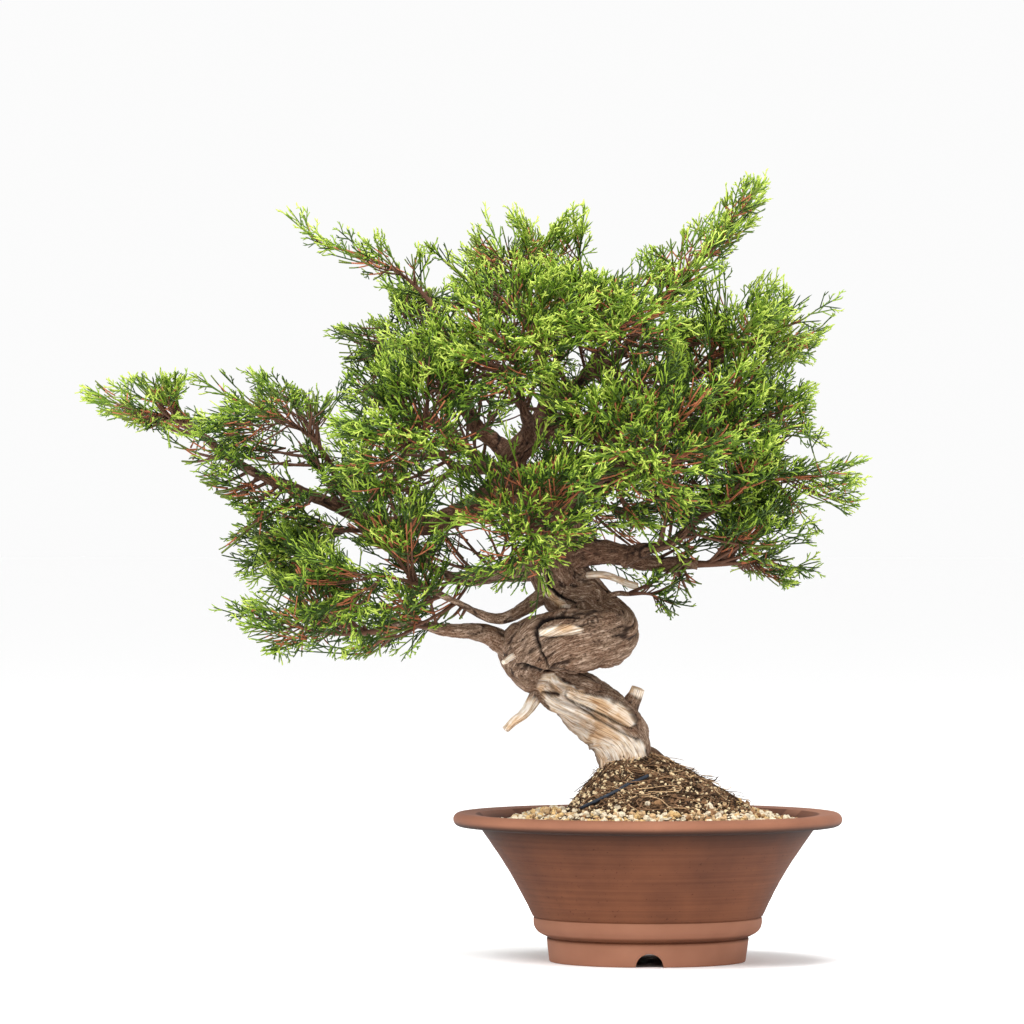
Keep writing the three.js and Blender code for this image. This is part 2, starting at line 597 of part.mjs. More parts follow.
// A mass: its stem with a last spray on it, its twigs, and the sprays on them that have room
function massSolid(mass) {
  const random = seeded(mass.seed);
  const { stem, space, row } = mass;
  const end = stem.points[STEM.steps];
  const heading = stem.tip.clone().sub(end).normalize();
  const face = space.over.clone().addScaledVector(heading, -space.over.dot(heading)).normalize();
  const from = stem.points[STEM.steps - 1].clone().lerp(end, 0.9);
  const sprays = [sprayPoints({ from, heading, face, size: row.spray })];
  const pieces = [tubeSolid(stem.points, (step) => stem.radiusAt(step / STEM.steps), STEM.sides)];
  for (const twig of growTwigs(mass, random)) {
    pieces.push(tubeSolid([twig.from, twig.to], (step) => twig.thick * (1 - TWIG.taper * step), TWIG.sides));
    for (const spray of growSprays(mass, twig, random)) {
      const points = fittedSpray(spray, mass, sprays);
      if (points) sprays.push(points);
    }
  }
  pieces.push(...sprays.map(spraySolid));
  return largestBody(wasm.Manifold.union(pieces));
}

// The whole plant
const limbs = growLimbs();
const masses = MASSES.map((row, i) => {
  const sized = { spray: 1, ...row };
  const stem = stemOf(sized, limbs.get(row.on ?? row.mass));
  return { row: sized, stem, space: spaceOf(sized, stem), seed: MASS_SEED + i };
});
const rootHeap = heapSolid().subtract(limbs.get("trunk").grown).subtract(limbs.get("surface_root").grown);

const plant = new THREE.Group();
plant.name = "juniper_bonsai";
plant.add(meshOf("pot", potSolid(), "stoneware"));
plant.add(meshOf("grit_bed", bedSolid(), "grit"));
plant.add(meshOf("root_heap", largestBody(rootHeap), "root_soil"));
plant.add(meshOf("tie_wire", wireSolid(), "wire"));
plant.add(meshOf("trunk", limbs.get("trunk").solid, "bark"));
for (const { name, look } of STUBS) plant.add(meshOf(name, limbs.get(name).solid, look));
for (const { bough } of BOUGHS) plant.add(meshOf(`bough_${bough}`, limbs.get(bough).solid, "bark"));
for (const mass of masses) plant.add(meshOf(`foliage_${mass.row.mass}`, massSolid(mass), "foliage"));

const box = new THREE.Box3().setFromObject(plant);
plant.position.set(-(box.min.x + box.max.x) / 2, -(box.min.y + box.max.y) / 2, -box.min.z);

export default plant;
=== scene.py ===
import json
import math

import bpy
import numpy as np
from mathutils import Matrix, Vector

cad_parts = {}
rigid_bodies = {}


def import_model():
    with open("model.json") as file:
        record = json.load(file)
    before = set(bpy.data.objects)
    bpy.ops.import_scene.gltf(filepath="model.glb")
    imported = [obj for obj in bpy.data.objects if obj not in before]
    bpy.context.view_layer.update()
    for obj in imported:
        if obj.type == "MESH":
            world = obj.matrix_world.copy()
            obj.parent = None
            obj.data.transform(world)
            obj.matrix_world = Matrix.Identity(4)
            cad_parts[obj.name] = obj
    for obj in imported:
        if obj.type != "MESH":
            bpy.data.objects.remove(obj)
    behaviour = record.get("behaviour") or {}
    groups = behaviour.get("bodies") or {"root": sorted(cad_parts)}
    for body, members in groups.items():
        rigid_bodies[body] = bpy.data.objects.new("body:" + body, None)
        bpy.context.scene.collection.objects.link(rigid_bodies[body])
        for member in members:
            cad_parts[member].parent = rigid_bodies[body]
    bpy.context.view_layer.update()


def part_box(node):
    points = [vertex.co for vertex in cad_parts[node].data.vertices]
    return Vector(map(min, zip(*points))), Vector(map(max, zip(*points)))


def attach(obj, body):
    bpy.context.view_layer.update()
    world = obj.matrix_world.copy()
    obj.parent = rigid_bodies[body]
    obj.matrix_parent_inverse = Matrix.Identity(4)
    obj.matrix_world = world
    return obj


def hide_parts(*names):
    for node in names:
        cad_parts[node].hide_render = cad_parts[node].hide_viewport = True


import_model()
pot_low, pot_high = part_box("pot")
POT_AXIS = np.array([(pot_low.x + pot_high.x) / 2, (pot_low.y + pot_high.y) / 2, 0.0])
METRES = 0.001
UP = np.array([0.0, 0.0, 1.0])
FULL_TURN = 2 * math.pi
TINY = 1e-9  # keeps a direction of no length from failing
NUDGE = 1e-6  # and a cross product from having none
GOLDEN_ANGLE = math.pi * (3 - math.sqrt(5))
GOLDEN_SHARE = (math.sqrt(5) - 1) / 2

# Clearances of the growth rule
GAP = 0.3
LEAF_CLEARANCE = 1.0
SPACE_MARGIN = 0.8

# Pot: radii and heights of the turned profile
RIM_RADIUS = 100
RIM_HEIGHT = 76.5
LIP_THICKNESS = 7
LIP_INNER_RADIUS = 88
LIP_FALL = 0.8  # from the lip's top to its inner edge
NECK_RADIUS = 86
NECK_DROP = 1  # from the lip's underside to the top of the wall
WAIST_RADIUS = 59.2
WAIST_HEIGHT = 23.6
FLARE = 1.7
BAND_RADIUS = 58.8
BAND_LOW = 15.5
BAND_ROUND = 1.7
FOOT_RADIUS = 50.5
FOOT_HEIGHT = 12
FOOT_WIDTH = 8
FOOT_SPLAY = 1.5
WALL = 6.5
FLOOR_LOW = 8
FLOOR_TOP = 15
FLOOR_ROUND = 3
DRAIN_RADIUS = 9
NOTCH_RADIUS = 7
NOTCH_MARGIN = 0.5  # of the finer sides beside a notch
NOTCH_ZONE = {"inside": 2, "above": 1}  # how far round the foot points may rise into a notch
GROOVE = 0.9  # depth of the fine grooves above and below the band
POT_SIDES = 300
POT_SPACING = 1.0  # between the rings of the turned pot
INSIDE_SPACING = 6  # and inside it, where the soil hides them
NOTCH_STEP = 0.4  # degrees between the finer sides at the notches
CORNER_STEPS = 5
WALL_STEPS = 17
LIP_STEPS = 13
PAINTED_SHADOW_DEPTH = 8  # how far the painted shadow reaches down below the lip
PAINTED_SHADOW_FADE = (0.8, 3.6)  # where the painted shadow on the lip's lower part ends, above its underside
RIM_FADE = (-0.3, 1)  # where the lip's paler clay begins, about its underside: wear and painted highlight
BAND_FADE = (-1.2, -0.7)  # where the band's paler clay ends, below the waist: wear and painted light
WHEEL_MARKS = 0.07  # how far the turning marks stand out
BROAD_MARKS = 0.6  # the share of the broader ones
DENTS = 0.14
WORN_AND_LIT = {"rim": 0.68, "band": 0.85, "blotch": 0.2}  # how much paler the clay is: wear, and painted light on the lip, band and foot
POT_NOISE = {  # stretch, size and seed
    "marks": ((0.7, 0.7, 1), (1, 1, 1.7), 5),
    "broad": ((1, 1, 1), (1, 1, 4.5), 6),
    "dents": ((60, 60, 1), 14, 7),
    "blotch": ((40, 40, 1), 9, 8),
}

# Soil: a domed bed of grit that fills the pot, and the old root ball heaped on it
BED_EDGE_HEIGHT = 70.5
BED_EDGE_RADIUS = 81
BED_TOP = 77.5
BED_FLAT_RADIUS = 54
BED_SIDES = 96
BED_PAST = 1.1  # the slope goes on this far, where 1 is the edge
BASE_DROP = 0.8  # from the bed's top to the plain base under the grains
HEAP = {"x": -10, "left": 31, "right": 64, "depth": 46, "top": 110, "fullness": 1.25}
HEAP_SIDES = 220
HEAP_RINGS = 70
HEAP_SHARES = (1.02, 0.02)  # of its first and its last ring
HEAP_LUMPS = ((1.3, 5.5, 21), (0.7, 2.2, 22), (0.35, 1.0, 23))  # height, size and seed
HEAP_DROP = 0.6
WIRE = {"radius": 0.9, "points": 5, "first_angle": -142, "turn": 17, "first_share": 0.98, "rise": 0.11}
WIRE_RINGS = 60
WIRE_SIDES = 12
# Grains, crumbs and fibres: sizes are half widths, and shares of the heap run from its crest to its foot
GRAIN = {
    "spacing": 2.9, "sizes": (1.2, 2.2), "small": 1.3, "jitter": 0.8, "sunk": 1.6, "past_edge": 0.5,
    "edge": 1.5, "heap": 0.86, "stones": (24, 3), "seed": 17,
}
LOOSE = {"count": 420, "inner": 0.25, "edge": 3, "raised": 0.3, "on_heap": 0.35, "heap": 0.5, "off": 0.6}
CRUMB = {
    "count": 4200, "sizes": (0.4, 1.25), "small": 1.5, "shares": (0.02, 1.05), "raised": 0.4,
    "stones": (12, 5), "seed": 31,
}
FIBRE = {
    "count": 720, "points": 9, "first": (0.12, 0.85), "drift": 0.5, "run": (0.05, 0.32), "stray": 0.25,
    "strays": (2, 6), "thick": (0.22, 0.65), "taper": 0.6, "sides": 5, "shares": (0.05, 1.06), "seed": 29,
    "turn_wave": (0.1, 5), "run_wave": (0.02, 6), "raised": 0.4, "raised_wave": (1.3, 4),
}
STONE = {"bump": 0.4, "bump_size": 0.8, "seed": 11, "least": 0.75, "range": 0.5}

# Trunk stations from the flat cut at ground level to the tip: x, y, z and radius
TRUNK = np.array([
    [-7, 0, BED_TOP + GAP, 18],
    [-11, 0, 99, 13],
    [-15.5, 1, 117, 15.2],
    [-33, 5, 133, 14.2],
    [-51, 11, 145, 12.4],
    [-64, 4, 155.5, 12.2],
    [-54, -12, 164, 15.2],
    [-32, -16, 166.5, 15.4],
    [-19, -6, 168, 13.9],
    [-30, 11, 181.5, 13.8],
    [-43.5, 11, 194, 15.8],
    [-49.5, 4, 209, 13.8],
    [-45, 0, 224, 12],
    [-52, 4, 238, 10.4],
    [-67, 7, 247, 8.8],
    [-69, 3, 259, 7.4],
    [-59, -2, 271, 6.2],
    [-51, 2, 287, 5],
    [-54, 4, 307, 3.4],
    [-61, 2, 328, 1.8],
])
TRUNK_STEPS_PER_STATION = 2
TRUNK_RINGS = 640
TRUNK_SIDES = 144
LOBES = {"count": 3, "depth": 0.07, "twist": 0.55}

# Bark: sizes of its features, twice across and once along a limb, and how much each of them counts
BARK = {
    "lumps": (8, 8, 13), "knobs": (4, 4, 6), "ridges": (3.4, 3.4, 18), "fibres": (1.7, 1.7, 9),
    "crumbs": (1.5, 1.5, 2.2), "cracks": (5.2, 5.2, 22),
}
BARK_RELIEF = {"ridges": 0.45, "fibres": 0.35, "crumbs": 0.45, "cracks": 0.8}
BARK_SWELL = {"lumps": 0.7, "knobs": 0.6, "relief": 0.34, "sunk": 0.25}
CRACK_WIDTH = 0.14
GRAIN_OFFSET = 37.0  # between the grain of one limb and of the next, so that no two look the same
WINDING = {"turn": 0.022, "wander": 0.35, "size": 30, "wave": 2.4, "wave_size": 9}
COARSE = {"trunk": 0.17, "limb": 0.26, "most": 2.4}
COLLAR = {"height": 0.525, "reach": 2.2}  # where a limb leaves its parent
SHADED_BARK = (186, 216)  # heights over which painted shade darkens the bark inside the crown
BARE_BLEND = {"length": 0.1, "ragged": 0.05}
BARE_SWELL = 0.55
NEVER_BARE = 1.2
FIRST_NORMAL = np.array([0.31, -0.95, 0.05])


def scar_row(wide, deep, bare, edge, *line):
    return {"wide": wide, "deep": deep, "bare": bare, "edge": edge, "line": np.array(line, float)}


# Bare wood on the front of the trunk: half width, depth, how bare it is, how much painted shade darkens its
# edge, and x and z of the places on its line. A row without bare wood is a fold in the bark with painted
# shade along it, or a swelling where its depth is below zero
SCARS = [scar_row(*row) for row in (
    (13, 0.0, 0.72, 0, (-50, 141), (-10, 104)),
    (14, 0.2, 0.95, 0, (-22, 114), (-8, 96)),
    (4.6, 1.3, 1.0, 0.6, (-40, 137), (-27, 133), (-15, 127), (-9, 122.5)),
    (0.8, 0.9, 0.0, 0.8, (-35.5, 132), (-22.4, 127), (-8.6, 119.7)),
    (0.8, 0.9, 0.0, 0.7, (-41, 134.5), (-26.8, 124.8), (-15.2, 119), (-5.7, 114.6)),
    (1.6, 1.0, 0.0, 0.8, (-54, 138), (-46, 137)),
    (1.3, 1.4, 0.0, 0.85, (-68, 152), (-52, 150), (-38, 151)),
    (3.2, 1.2, 1.0, 0.5, (-55, 169.3), (-45, 170.6), (-35, 171)),
    (1.1, 1.7, 0.0, 0.9, (-50.8, 152.4), (-55.2, 159), (-57.6, 165.5), (-57, 171.3), (-53, 175),
     (-45.7, 177), (-35.5, 177)),
    (4.0, -1.6, 0.0, 0, (-59, 155), (-62.5, 165), (-60, 174), (-52, 180), (-38, 182)),
    (1.6, 0.8, 1.0, 0.4, (-55, 198), (-53.5, 190), (-47, 185), (-40, 182.5)),
    (1.2, 1.5, 0.0, 0.9, (-52, 200), (-50.5, 191.7), (-45, 187), (-37, 184)),
)]
SCAR = {
    "facing": (0.05, 0.4), "streaks": (2.2, 2.2, 30), "streaky": 2.2, "inside": (0.8, 1.05),
    "edge": (0.95, 0.2), "lip": (1.35, 0.3), "lip_height": 0.45, "hollow": 0.4, "ragged": 0.2,
    "ragged_size": 3.0, "split": 0.15, "narrow": 0.4, "widening": 0.6, "ends": (0.08, 0.84),
}
KNOT = {
    "place": (-28.5, 174.8), "radius": 5.2, "rings": 2.6, "height": 1.3, "ragged": 0.12, "ragged_size": 2.5,
    "edge": (0.7, 1.1), "eye": (0.1, 0.4), "eye_depth": 0.8, "dark": 0.7, "lines": (0.2, 0.9),
}
SCAR_SEEDS = {"ragged": 71, "streaks": 73, "knot": 75}

# Limbs, each from a share of its parent's length to its tip in one bow
LIMB_STEPS = 6
LIMB_TAPER = 0.7
LIMB_RINGS = 90
LIMB_SIDES = 26
WANDER = {"size": 0.035, "back": 9, "up": 7}
LIMB_SEED = 141


def limb_row(name, at, tip, lift, sway, thick, parent="trunk"):
    return {
        "name": name, "at": at, "tip": np.array(tip, float),
        "lift": lift, "sway": sway, "thick": thick, "parent": parent,
    }


STUBS = [limb_row(*row) for row in (
    ("dead_stub_left", 0.215, (-73, -1, 119), -2, -2, (4.4, 2.3)),
    ("dead_stub_right", 0.105, (-4.5, -4, 140), 0, 0, (5.5, 3.6)),
    ("dead_peg", 0.3, (-74, -20, 154), 0, 0, (1.6, 1.3)),
    ("cut_stick", 0.56, (-5, 3, 192.5), 1, 0, (2.3, 1.8)),
    ("surface_root", 0.085, (17, 3, 93), 6, 2, (2.6, 1.8)),
)]
# The share of its length from which a stub is bare wood
BARE_FROM = {"dead_stub_left": 0.3, "dead_stub_right": 0.8, "dead_peg": 0.2, "cut_stick": 0.1}
BOUGHS = [limb_row(*row) for row in (
    ("low_left", 0.268, (-133, -22, 171), 9, -6, (6.6, 1.7)),
    ("left_inner", 0.53, (-108, -42, 190), -13, 8, (4.8, 1.5)),
    ("mid_left", 0.575, (-122, 32, 210), -13, 6, (7.5, 2.3)),
    ("left_reach", 0.735, (-226, 2, 268), -30, 5, (7.4, 2)),
    ("left_shoulder", 0.56, (-164, -6, 257), -3, 4, (3.4, 1.7), "left_reach"),
    ("top_left", 0.8, (-108, 12, 306), -5, 8, (5.2, 1.9)),
    ("left_leader", 0.55, (-104, -16, 322), -2, -6, (3, 1.5), "top_left"),
    ("top_right", 0.885, (0, -6, 330), -6, -5, (4.6, 1.7)),
    ("apex_right", 0.925, (-38, -3, 336), -4, 2, (3, 1.5)),
    ("high_right", 0.855, (22, 10, 300), -6, 8, (5, 1.9)),
    ("mid_right", 0.685, (24, -16, 262), -5, -6, (6, 2)),
    ("low_right", 0.592, (26, 4, 204), 1, 3, (8.6, 2.8)),
    ("right_reach", 0.5, (27, -14, 228), -4, -5, (4, 1.8), "low_right"),
    ("front", 0.635, (-58, -54, 224), 5, 0, (5.6, 1.8)),
    ("front_right", 0.665, (-14, -52, 252), 4, -4, (5.2, 1.8)),
    ("front_top", 0.89, (-26, -40, 312), -5, -5, (3.8, 1.6)),
    ("front_high", 0.84, (-66, -44, 298), -5, -5, (4.4, 1.7)),
    ("front_left", 0.755, (-104, -44, 258), -4, -6, (5, 1.8)),
    ("back", 0.645, (-34, 58, 238), 5, 0, (5.6, 1.9)),
    ("back_left", 0.765, (-102, 52, 270), -4, 6, (5, 1.8)),
    ("back_right", 0.865, (-4, 50, 280), -5, 6, (4.6, 1.8)),
    ("back_high", 0.905, (-58, 42, 322), -4, 5, (3.6, 1.6)),
    ("sprig", 0.47, (-6, -6, 189), 2, 0, (1.8, 1.1)),
)]


def mass_row(name, tip, wide, high, twigs, spray=1.0):
    return {
        "name": name, "tip": np.array(tip, float), "wide": wide,
        "high": high, "twigs": twigs, "spray": spray,
    }


# Foliage masses: tip, half width, half height and the twigs of the plain solid
MASSES = [mass_row(*row) for row in (
    ("low_left", (-222, -32, 180), 48, 26, 7),
    ("left_inner", (-168, -78, 206), 40, 32, 6),
    ("mid_left", (-218, 54, 218), 48, 34, 7),
    ("left_reach", (-292, -2, 295), 42, 28, 8),
    ("left_shoulder", (-220, -12, 302), 46, 38, 6),
    ("top_left", (-162, 30, 326), 44, 36, 6),
    ("left_leader", (-189, -24, 385), 32, 32, 7),
    ("apex", (-78, -4, 389), 44, 44, 7),
    ("apex_right", (-32, -8, 392), 38, 38, 6),
    ("top_right", (64, -12, 404), 42, 40, 8),
    ("high_right", (97, 4, 340), 50, 40, 7),
    ("mid_right", (92, -34, 294), 46, 42, 7),
    ("right_reach", (117, -20, 259), 44, 34, 6),
    ("low_right", (88, 14, 208), 44, 28, 6),
    ("front", (-64, -116, 234), 48, 38, 6),
    ("front_right", (4, -114, 274), 50, 44, 7),
    ("front_top", (-2, -88, 342), 46, 42, 6),
    ("front_high", (-76, -102, 324), 48, 44, 7),
    ("front_left", (-136, -100, 276), 46, 44, 7),
    ("back", (-26, 118, 246), 52, 42, 6),
    ("back_left", (-136, 106, 290), 50, 44, 6),
    ("back_right", (48, 100, 294), 52, 46, 6),
    ("back_high", (-66, 94, 348), 50, 42, 6),
    ("sprig", (22, -12, 182), 15, 13, 3, 0.5),
)]
MASS_SEED = 41
EGG_EXTRA = 9
EGG_TAPER = 0.5
EGG_LEAST = 0.1
UPRIGHT = 0.3  # a stem that leans less than this has no side of its own
STEM = {"radius": 1.9, "tip_radius": 1, "steps": 4, "bend": 0.35, "short": 0.85}
STEM_DRAWN = {"points": 14, "old": 8, "swell": 1.15, "sunk": 4, "sides": 8}
SOLID_SPRAY = 37
TWIG = {"thick": 0.62, "taper": 0.5, "least": 9, "most": 60, "step": 1.5, "first": 0.06, "range": 0.9}
TWIG_DRAWN = {"points": 6, "old": 3, "sag": 0.05, "sides": 4}
TWIG_SPREAD = 0.95
TWIG_TURN = 0.7
TWIG_KEEP = {"least": 0.6, "range": 0.3}
UPSWEEP = 0.28

# The crown's outline as it is seen from the front: x and z of its corners
OUTLINE = [
    (-294, 293), (-277, 300), (-240, 301), (-214, 305), (-194, 303), (-180, 294), (-160, 290), (-154, 306),
    (-163, 325), (-146, 330), (-132, 329), (-131, 345), (-160, 360), (-190, 385), (-192, 386), (-180, 386),
    (-158, 381), (-150, 370), (-135, 376), (-132, 362), (-126, 359), (-116, 368), (-106, 369), (-97, 364),
    (-91, 371), (-86, 388), (-68, 387), (-53, 372), (-37, 390), (-30, 391), (-29, 381), (-32, 367),
    (-38, 353), (-15, 354), (-3, 364), (10, 369), (22, 378), (34, 386), (48, 402), (66, 402),
    (60, 386), (50, 374), (40, 364), (37, 346), (50, 346), (63, 354), (82, 354), (75, 342),
    (100, 341), (94, 328), (86, 316), (84, 300), (84, 274), (96, 262), (118, 260), (108, 244),
    (110, 232), (90, 228), (86, 214), (88, 200), (70, 191), (56, 199), (36, 199), (22, 192),
    (23, 178), (8, 178), (-10, 165), (-40, 180), (-105, 176), (-110, 150), (-122, 158), (-150, 156),
    (-176, 158), (-192, 154), (-208, 172), (-223, 179), (-206, 192), (-223, 214), (-204, 226), (-220, 240),
    (-236, 252), (-242, 264), (-261, 275), (-279, 282), (-286, 286),
]
# Patches of sky seen through the crown from the front: x, z, half width and half height
SKY = np.array([
    (-155, 366, 5, 5), (-109, 352, 8, 7), (-74, 374, 5, 9), (-208, 295, 7, 6), (-234, 288, 7, 7),
    (-79, 265, 4, 6), (83, 335, 5, 5), (77, 299, 5, 5), (76, 263, 7, 5), (49, 340, 5, 4), (24, 334, 4, 4),
    (-171, 246, 6, 4), (-165, 234, 6, 4), (-146, 232, 6, 5), (-156, 228, 4, 5), (-156, 214, 5, 5),
    (-106, 234, 5, 7), (34, 226, 5, 5), (30, 211, 5, 4), (78, 209, 7, 4), (-141, 208, 7, 3),
    (-129, 197, 6, 4), (-17, 193, 6, 9), (-86, 184, 8, 6), (-71, 177, 12, 9), (-89, 173, 7, 5),
    (-199, 194, 5, 4), (-127, 161, 4, 5), (2, 219, 4, 4),
], float)
# Patches where trunk and boughs show between the sprays of the front, given in the same way
OPEN = np.array([
    (-30, 197, 24, 13), (-62, 268, 14, 13), (-86, 245, 8, 7), (-36, 228, 6, 6), (-14, 214, 9, 9),
], float)
OPEN_SHARE = 0.12  # the share of the front's sprays that stay there
OPEN_DEPTH = 15  # sprays that start further back than this all stay
# Small gaps all over the crown, where noise that is seen from the front is above this
LACE = {"size": 6.5, "seed": 87, "above": 0.44}
EYE = np.array([-69.66, 230.8])  # x and z of the place that the camera looks at
VIEW_DISTANCE = 3300
OVERSHOOT = 4  # how far the ends of some sprays stand out of the outline

# Finer growth: more twigs by the same rule, also along the boughs, twiglets on them, and fans of scale
# shoots in place of each plain blade
FINER_TWIGS = 2.8  # how many times the solid's own twigs
FINER_MORE = {
    "low_right": 2.0, "left_reach": 1.8, "left_inner": 2.0, "mid_left": 2.0, "front": 1.6, "sprig": 1.7,
    "left_shoulder": 1.5, "low_left": 1.2, "front_left": 1.2, "top_right": 1.2, "left_leader": 1.2,
}
FINER_SEED = 900
FINER_KEEP = {"least": 0.72, "range": 0.28}
FINER_LEAST = 5
FINER_REACH = 1.2  # how far out finer growth runs, where 1 is the skin of a mass's space
FINER_SWEEP = (-1.2, 1.8)  # the upsweep of finer twigs runs between these shares of the rule's
BOUGH_SWEEP = (-1.6, 2.0)  # and that of the boughs' own twigs
BARE_SHARE = 0.35  # the inner share of a bough without twigs
BARE_SHARES = {
    "low_left": 0.45, "left_inner": 0.2, "mid_left": 0.15, "low_right": 0.5, "front": 0.2, "left_reach": 0.2,
    "sprig": 0.7,
}
BOUGH_TWIG = {
    "step": 4.4, "length": 40, "lengths": (0.8, 1.1), "spread": 1.05, "thick": 1.0,
    "last": 0.97, "ahead": 0.03, "sunk": 0.6,
}
TWIGLET = {
    "step": 6.5, "first": 0.25, "last": 0.9, "jitter": 0.6, "spread": 0.75, "roll": 1.6, "upsweep": 0.7,
    "length": 11, "more": 0.34, "thick": 0.55, "least": 7.2,
}
SLIM = 0.5  # how much of its thickness a stem keeps at its end
THINNEST = 0.36  # the least radius of a twig
LEADER = 0.62  # the share from a stem's end to the mass's tip that its leading twig runs
SPRAY = {
    "step": 4.3, "first": 0.34, "leading_first": 0.05, "jitter": 0.4, "length": 16, "end_length": 1.3,
    "longest": 1.1, "loss": 0.3, "spread": 0.75, "root_spread": 1.25, "closing": 0.8, "end_spread": 0.2,
    "whorl": 2.0, "roll": 2.6, "upsweep": 0.5,
}
SPRAY_SIZES = (0.36, 0.5, 0.66, 0.82, 1.0)
BARE_DEPTHS = (0.42, 0.66)  # in the crown: no sprays inside the first, all of them outside the second
EDGE_ZONE = 24  # within this of the outline fewer sprays grow
EDGE_SHARE = 0.26
CLUMP = {"size": 24, "seed": 51, "low": -0.4, "high": 0.08, "least": 0.2}  # in which sprays stand
# A spray has one random number, and each use of it takes it times a factor of its own
LUCK = {"depth": 3.1, "over": 5.7, "dull": 7.3, "edge": 9.7, "clump": 13.3, "open": 17.9}
FAN = {"bow": 0.3, "straight": 0.35, "back": 0.25, "out": 0.3, "least": 3}
BRANCHLET = {
    "step": 3.2, "first": 0.12, "span": 0.82, "jitter": 0.5, "spread": 0.66, "spreads": (0.8, 0.4),
    "closing": (1.15, 0.5), "length": 0.5, "loss": 0.7, "grow": (0.15, 0.35), "lengths": (0.55, 0.9),
    "least": 2.2, "lift": 0.9, "curl": 0.16,
}
SHOOT = {
    "step": 3.4, "most": 2, "first": 0.3, "span": 0.6, "jitter": 0.5, "spread": 0.62, "spreads": (0.75, 0.5),
    "length": 0.5, "loss": 0.55, "lengths": (0.7, 0.6), "least": 2.2, "tilt": 0.5, "curl": 0.14, "out": 0.25,
}
RIB_RADIUS = (0.46, 0.36)
BRANCHLET_RADIUS = (0.42, 0.32)
SHOOT_RADIUS = (0.39, 0.29)
SHOOT_SIDES = 3
LONG_SHOOT = 11.0
LONG_RINGS = (0, 0.5, 0.9)
SHORT_RINGS = (0, 0.82)
CROWN = {"centre": np.array([-80.0, 0, 275]), "half": np.array([175.0, 112, 112])}
PIECE_TRIANGLES = 190_000

# Plain colours, and for the soil's small things the share of each kind too
LEAF_COLOURS = {
    "shaded": 0x2A400A, "dull": 0x506636, "middle": 0x59761A, "bright": 0x86A030, "tip": 0xB0C252,
}
# How light each spray's colour is: painted light by its depth in the crown and its height, with random tone
# and clumps
LIGHT = {
    "out": 0.62, "up": 0.22, "luck": 0.5, "clump": 0.25,
    "shaded": 0.34, "bright": 0.62, "dull": 0.14,
}
FRESH = {"shaded": "middle", "dull": "bright", "middle": "bright", "bright": "tip"}  # at a spray's tips
DEEP = {"shaded": "shaded", "dull": "shaded", "middle": "shaded", "bright": "middle"}  # at its base: painted shade
FRESH_FROM = 0.6
DEEP_TO = 0.36
TWIG_COLOURS = {"green": 0x5C6A26, "young": 0x9C5C3C, "old": 0x5C3E2E}
GRAIN_KINDS = {
    "cream": (0xDACCB2, 0.4), "tan": (0xC0A078, 0.26), "straw": (0xCBAA76, 0.22), "brown": (0x94704E, 0.12),
}
CRUMB_KINDS = {"dark": (0x3E2E22, 0.28), "brown": (0x7A5B40, 0.36), "pale": (0xEAD0A6, 0.36)}
FIBRE_KINDS = {"dark": (0x44301F, 0.42), "brown": (0x86664A, 0.44), "pale": (0xC8A67E, 0.14)}
SPECKS = {"grain": 520, "fibre": 700, "crumb": 800, "wire": 900}
WIRE_COLOUR = 0x2C3440
WHITE = 0xFFFFFF

# Lamps: place in metres, size and power
LAMPS = {
    "key": ((-0.6, -1.4, 1.9), 0.9, 48),
    "fill": ((1.6, -1.2, 0.9), 1.4, 6),
    "top": ((0.1, 0.0, 1.9), 0.9, 32),
}
LAMP_AIM = np.array([0.0, 0.0, 0.22])
SKY_LIGHT = 0.97
LENS = 225.7


# Numbers
def seeded(seed):
    """Repeatable random numbers from 0 to 1."""
    mask = 0xFFFFFFFF
    state = seed & mask

    def draw():
        nonlocal state
        state = (state + 0x6D2B79F5) & mask
        mixed = ((state ^ (state >> 15)) * (1 | state)) & mask
        mixed = ((mixed + (((mixed ^ (mixed >> 7)) * (61 | mixed)) & mask)) & mask) ^ mixed
        return (mixed ^ (mixed >> 14)) / 4294967296

    return draw


def varied(draw):
    """A share from 0.8 to 1.2."""
    return 0.8 + 0.4 * draw()


def lattice(x, y, z, seed):
    """A repeatable number from -1 to 1 at each whole-number point."""
    mixed = (x * 374761393 + y * 668265263 + z * 1103515245 + seed * 362437) & 0xFFFFFFFF
    mixed = ((mixed ^ (mixed >> 13)) * 1274126177) & 0xFFFFFFFF
    return ((mixed ^ (mixed >> 16)) & 0xFFFF) / 32767.5 - 1


def noise(points, size, seed):
    """Smooth noise from -1 to 1 at points, with features of this size: one number or one for each axis."""
    scaled = points / np.asarray(size, float)
    low = np.floor(scaled).astype(np.int64)
    part = scaled - low
    part = part * part * (3 - 2 * part)
    total = np.zeros(points.shape[:-1])
    for corner in np.ndindex(2, 2, 2):
        weight = np.prod(np.where(corner, part, 1 - part), axis=-1)
        place = low + corner
        total += weight * lattice(place[..., 0], place[..., 1], place[..., 2], seed)
    return total


def smoothstep(low, high, value):
    share = np.clip((value - low) / (high - low), 0, 1)
    return share * share * (3 - 2 * share)


def bell(value, middle=0.0, width=1.0):
    """1 at the middle, falling off on both sides."""
    return np.exp(-(((value - middle) / width) ** 2))


def lerp(start, end, share):
    return start + (end - start) * share


def unit(vectors):
    return vectors / np.maximum(np.linalg.norm(vectors, axis=-1, keepdims=True), TINY)


def bezier(start, middle, end, shares):
    share = np.asarray(shares, float)[:, None]
    return (1 - share) ** 2 * start + 2 * share * (1 - share) * middle + share**2 * end


def circle(sides):
    return np.linspace(0, FULL_TURN, sides, endpoint=False)


# Colours and materials
def linear(colour):
    """A colour written as red, green and blue bytes, as linear values with alpha."""
    parts = [(colour >> shift & 255) / 255 for shift in (16, 8, 0)]
    return [part / 12.92 if part <= 0.04045 else ((part + 0.055) / 1.055) ** 2.4 for part in parts] + [1]


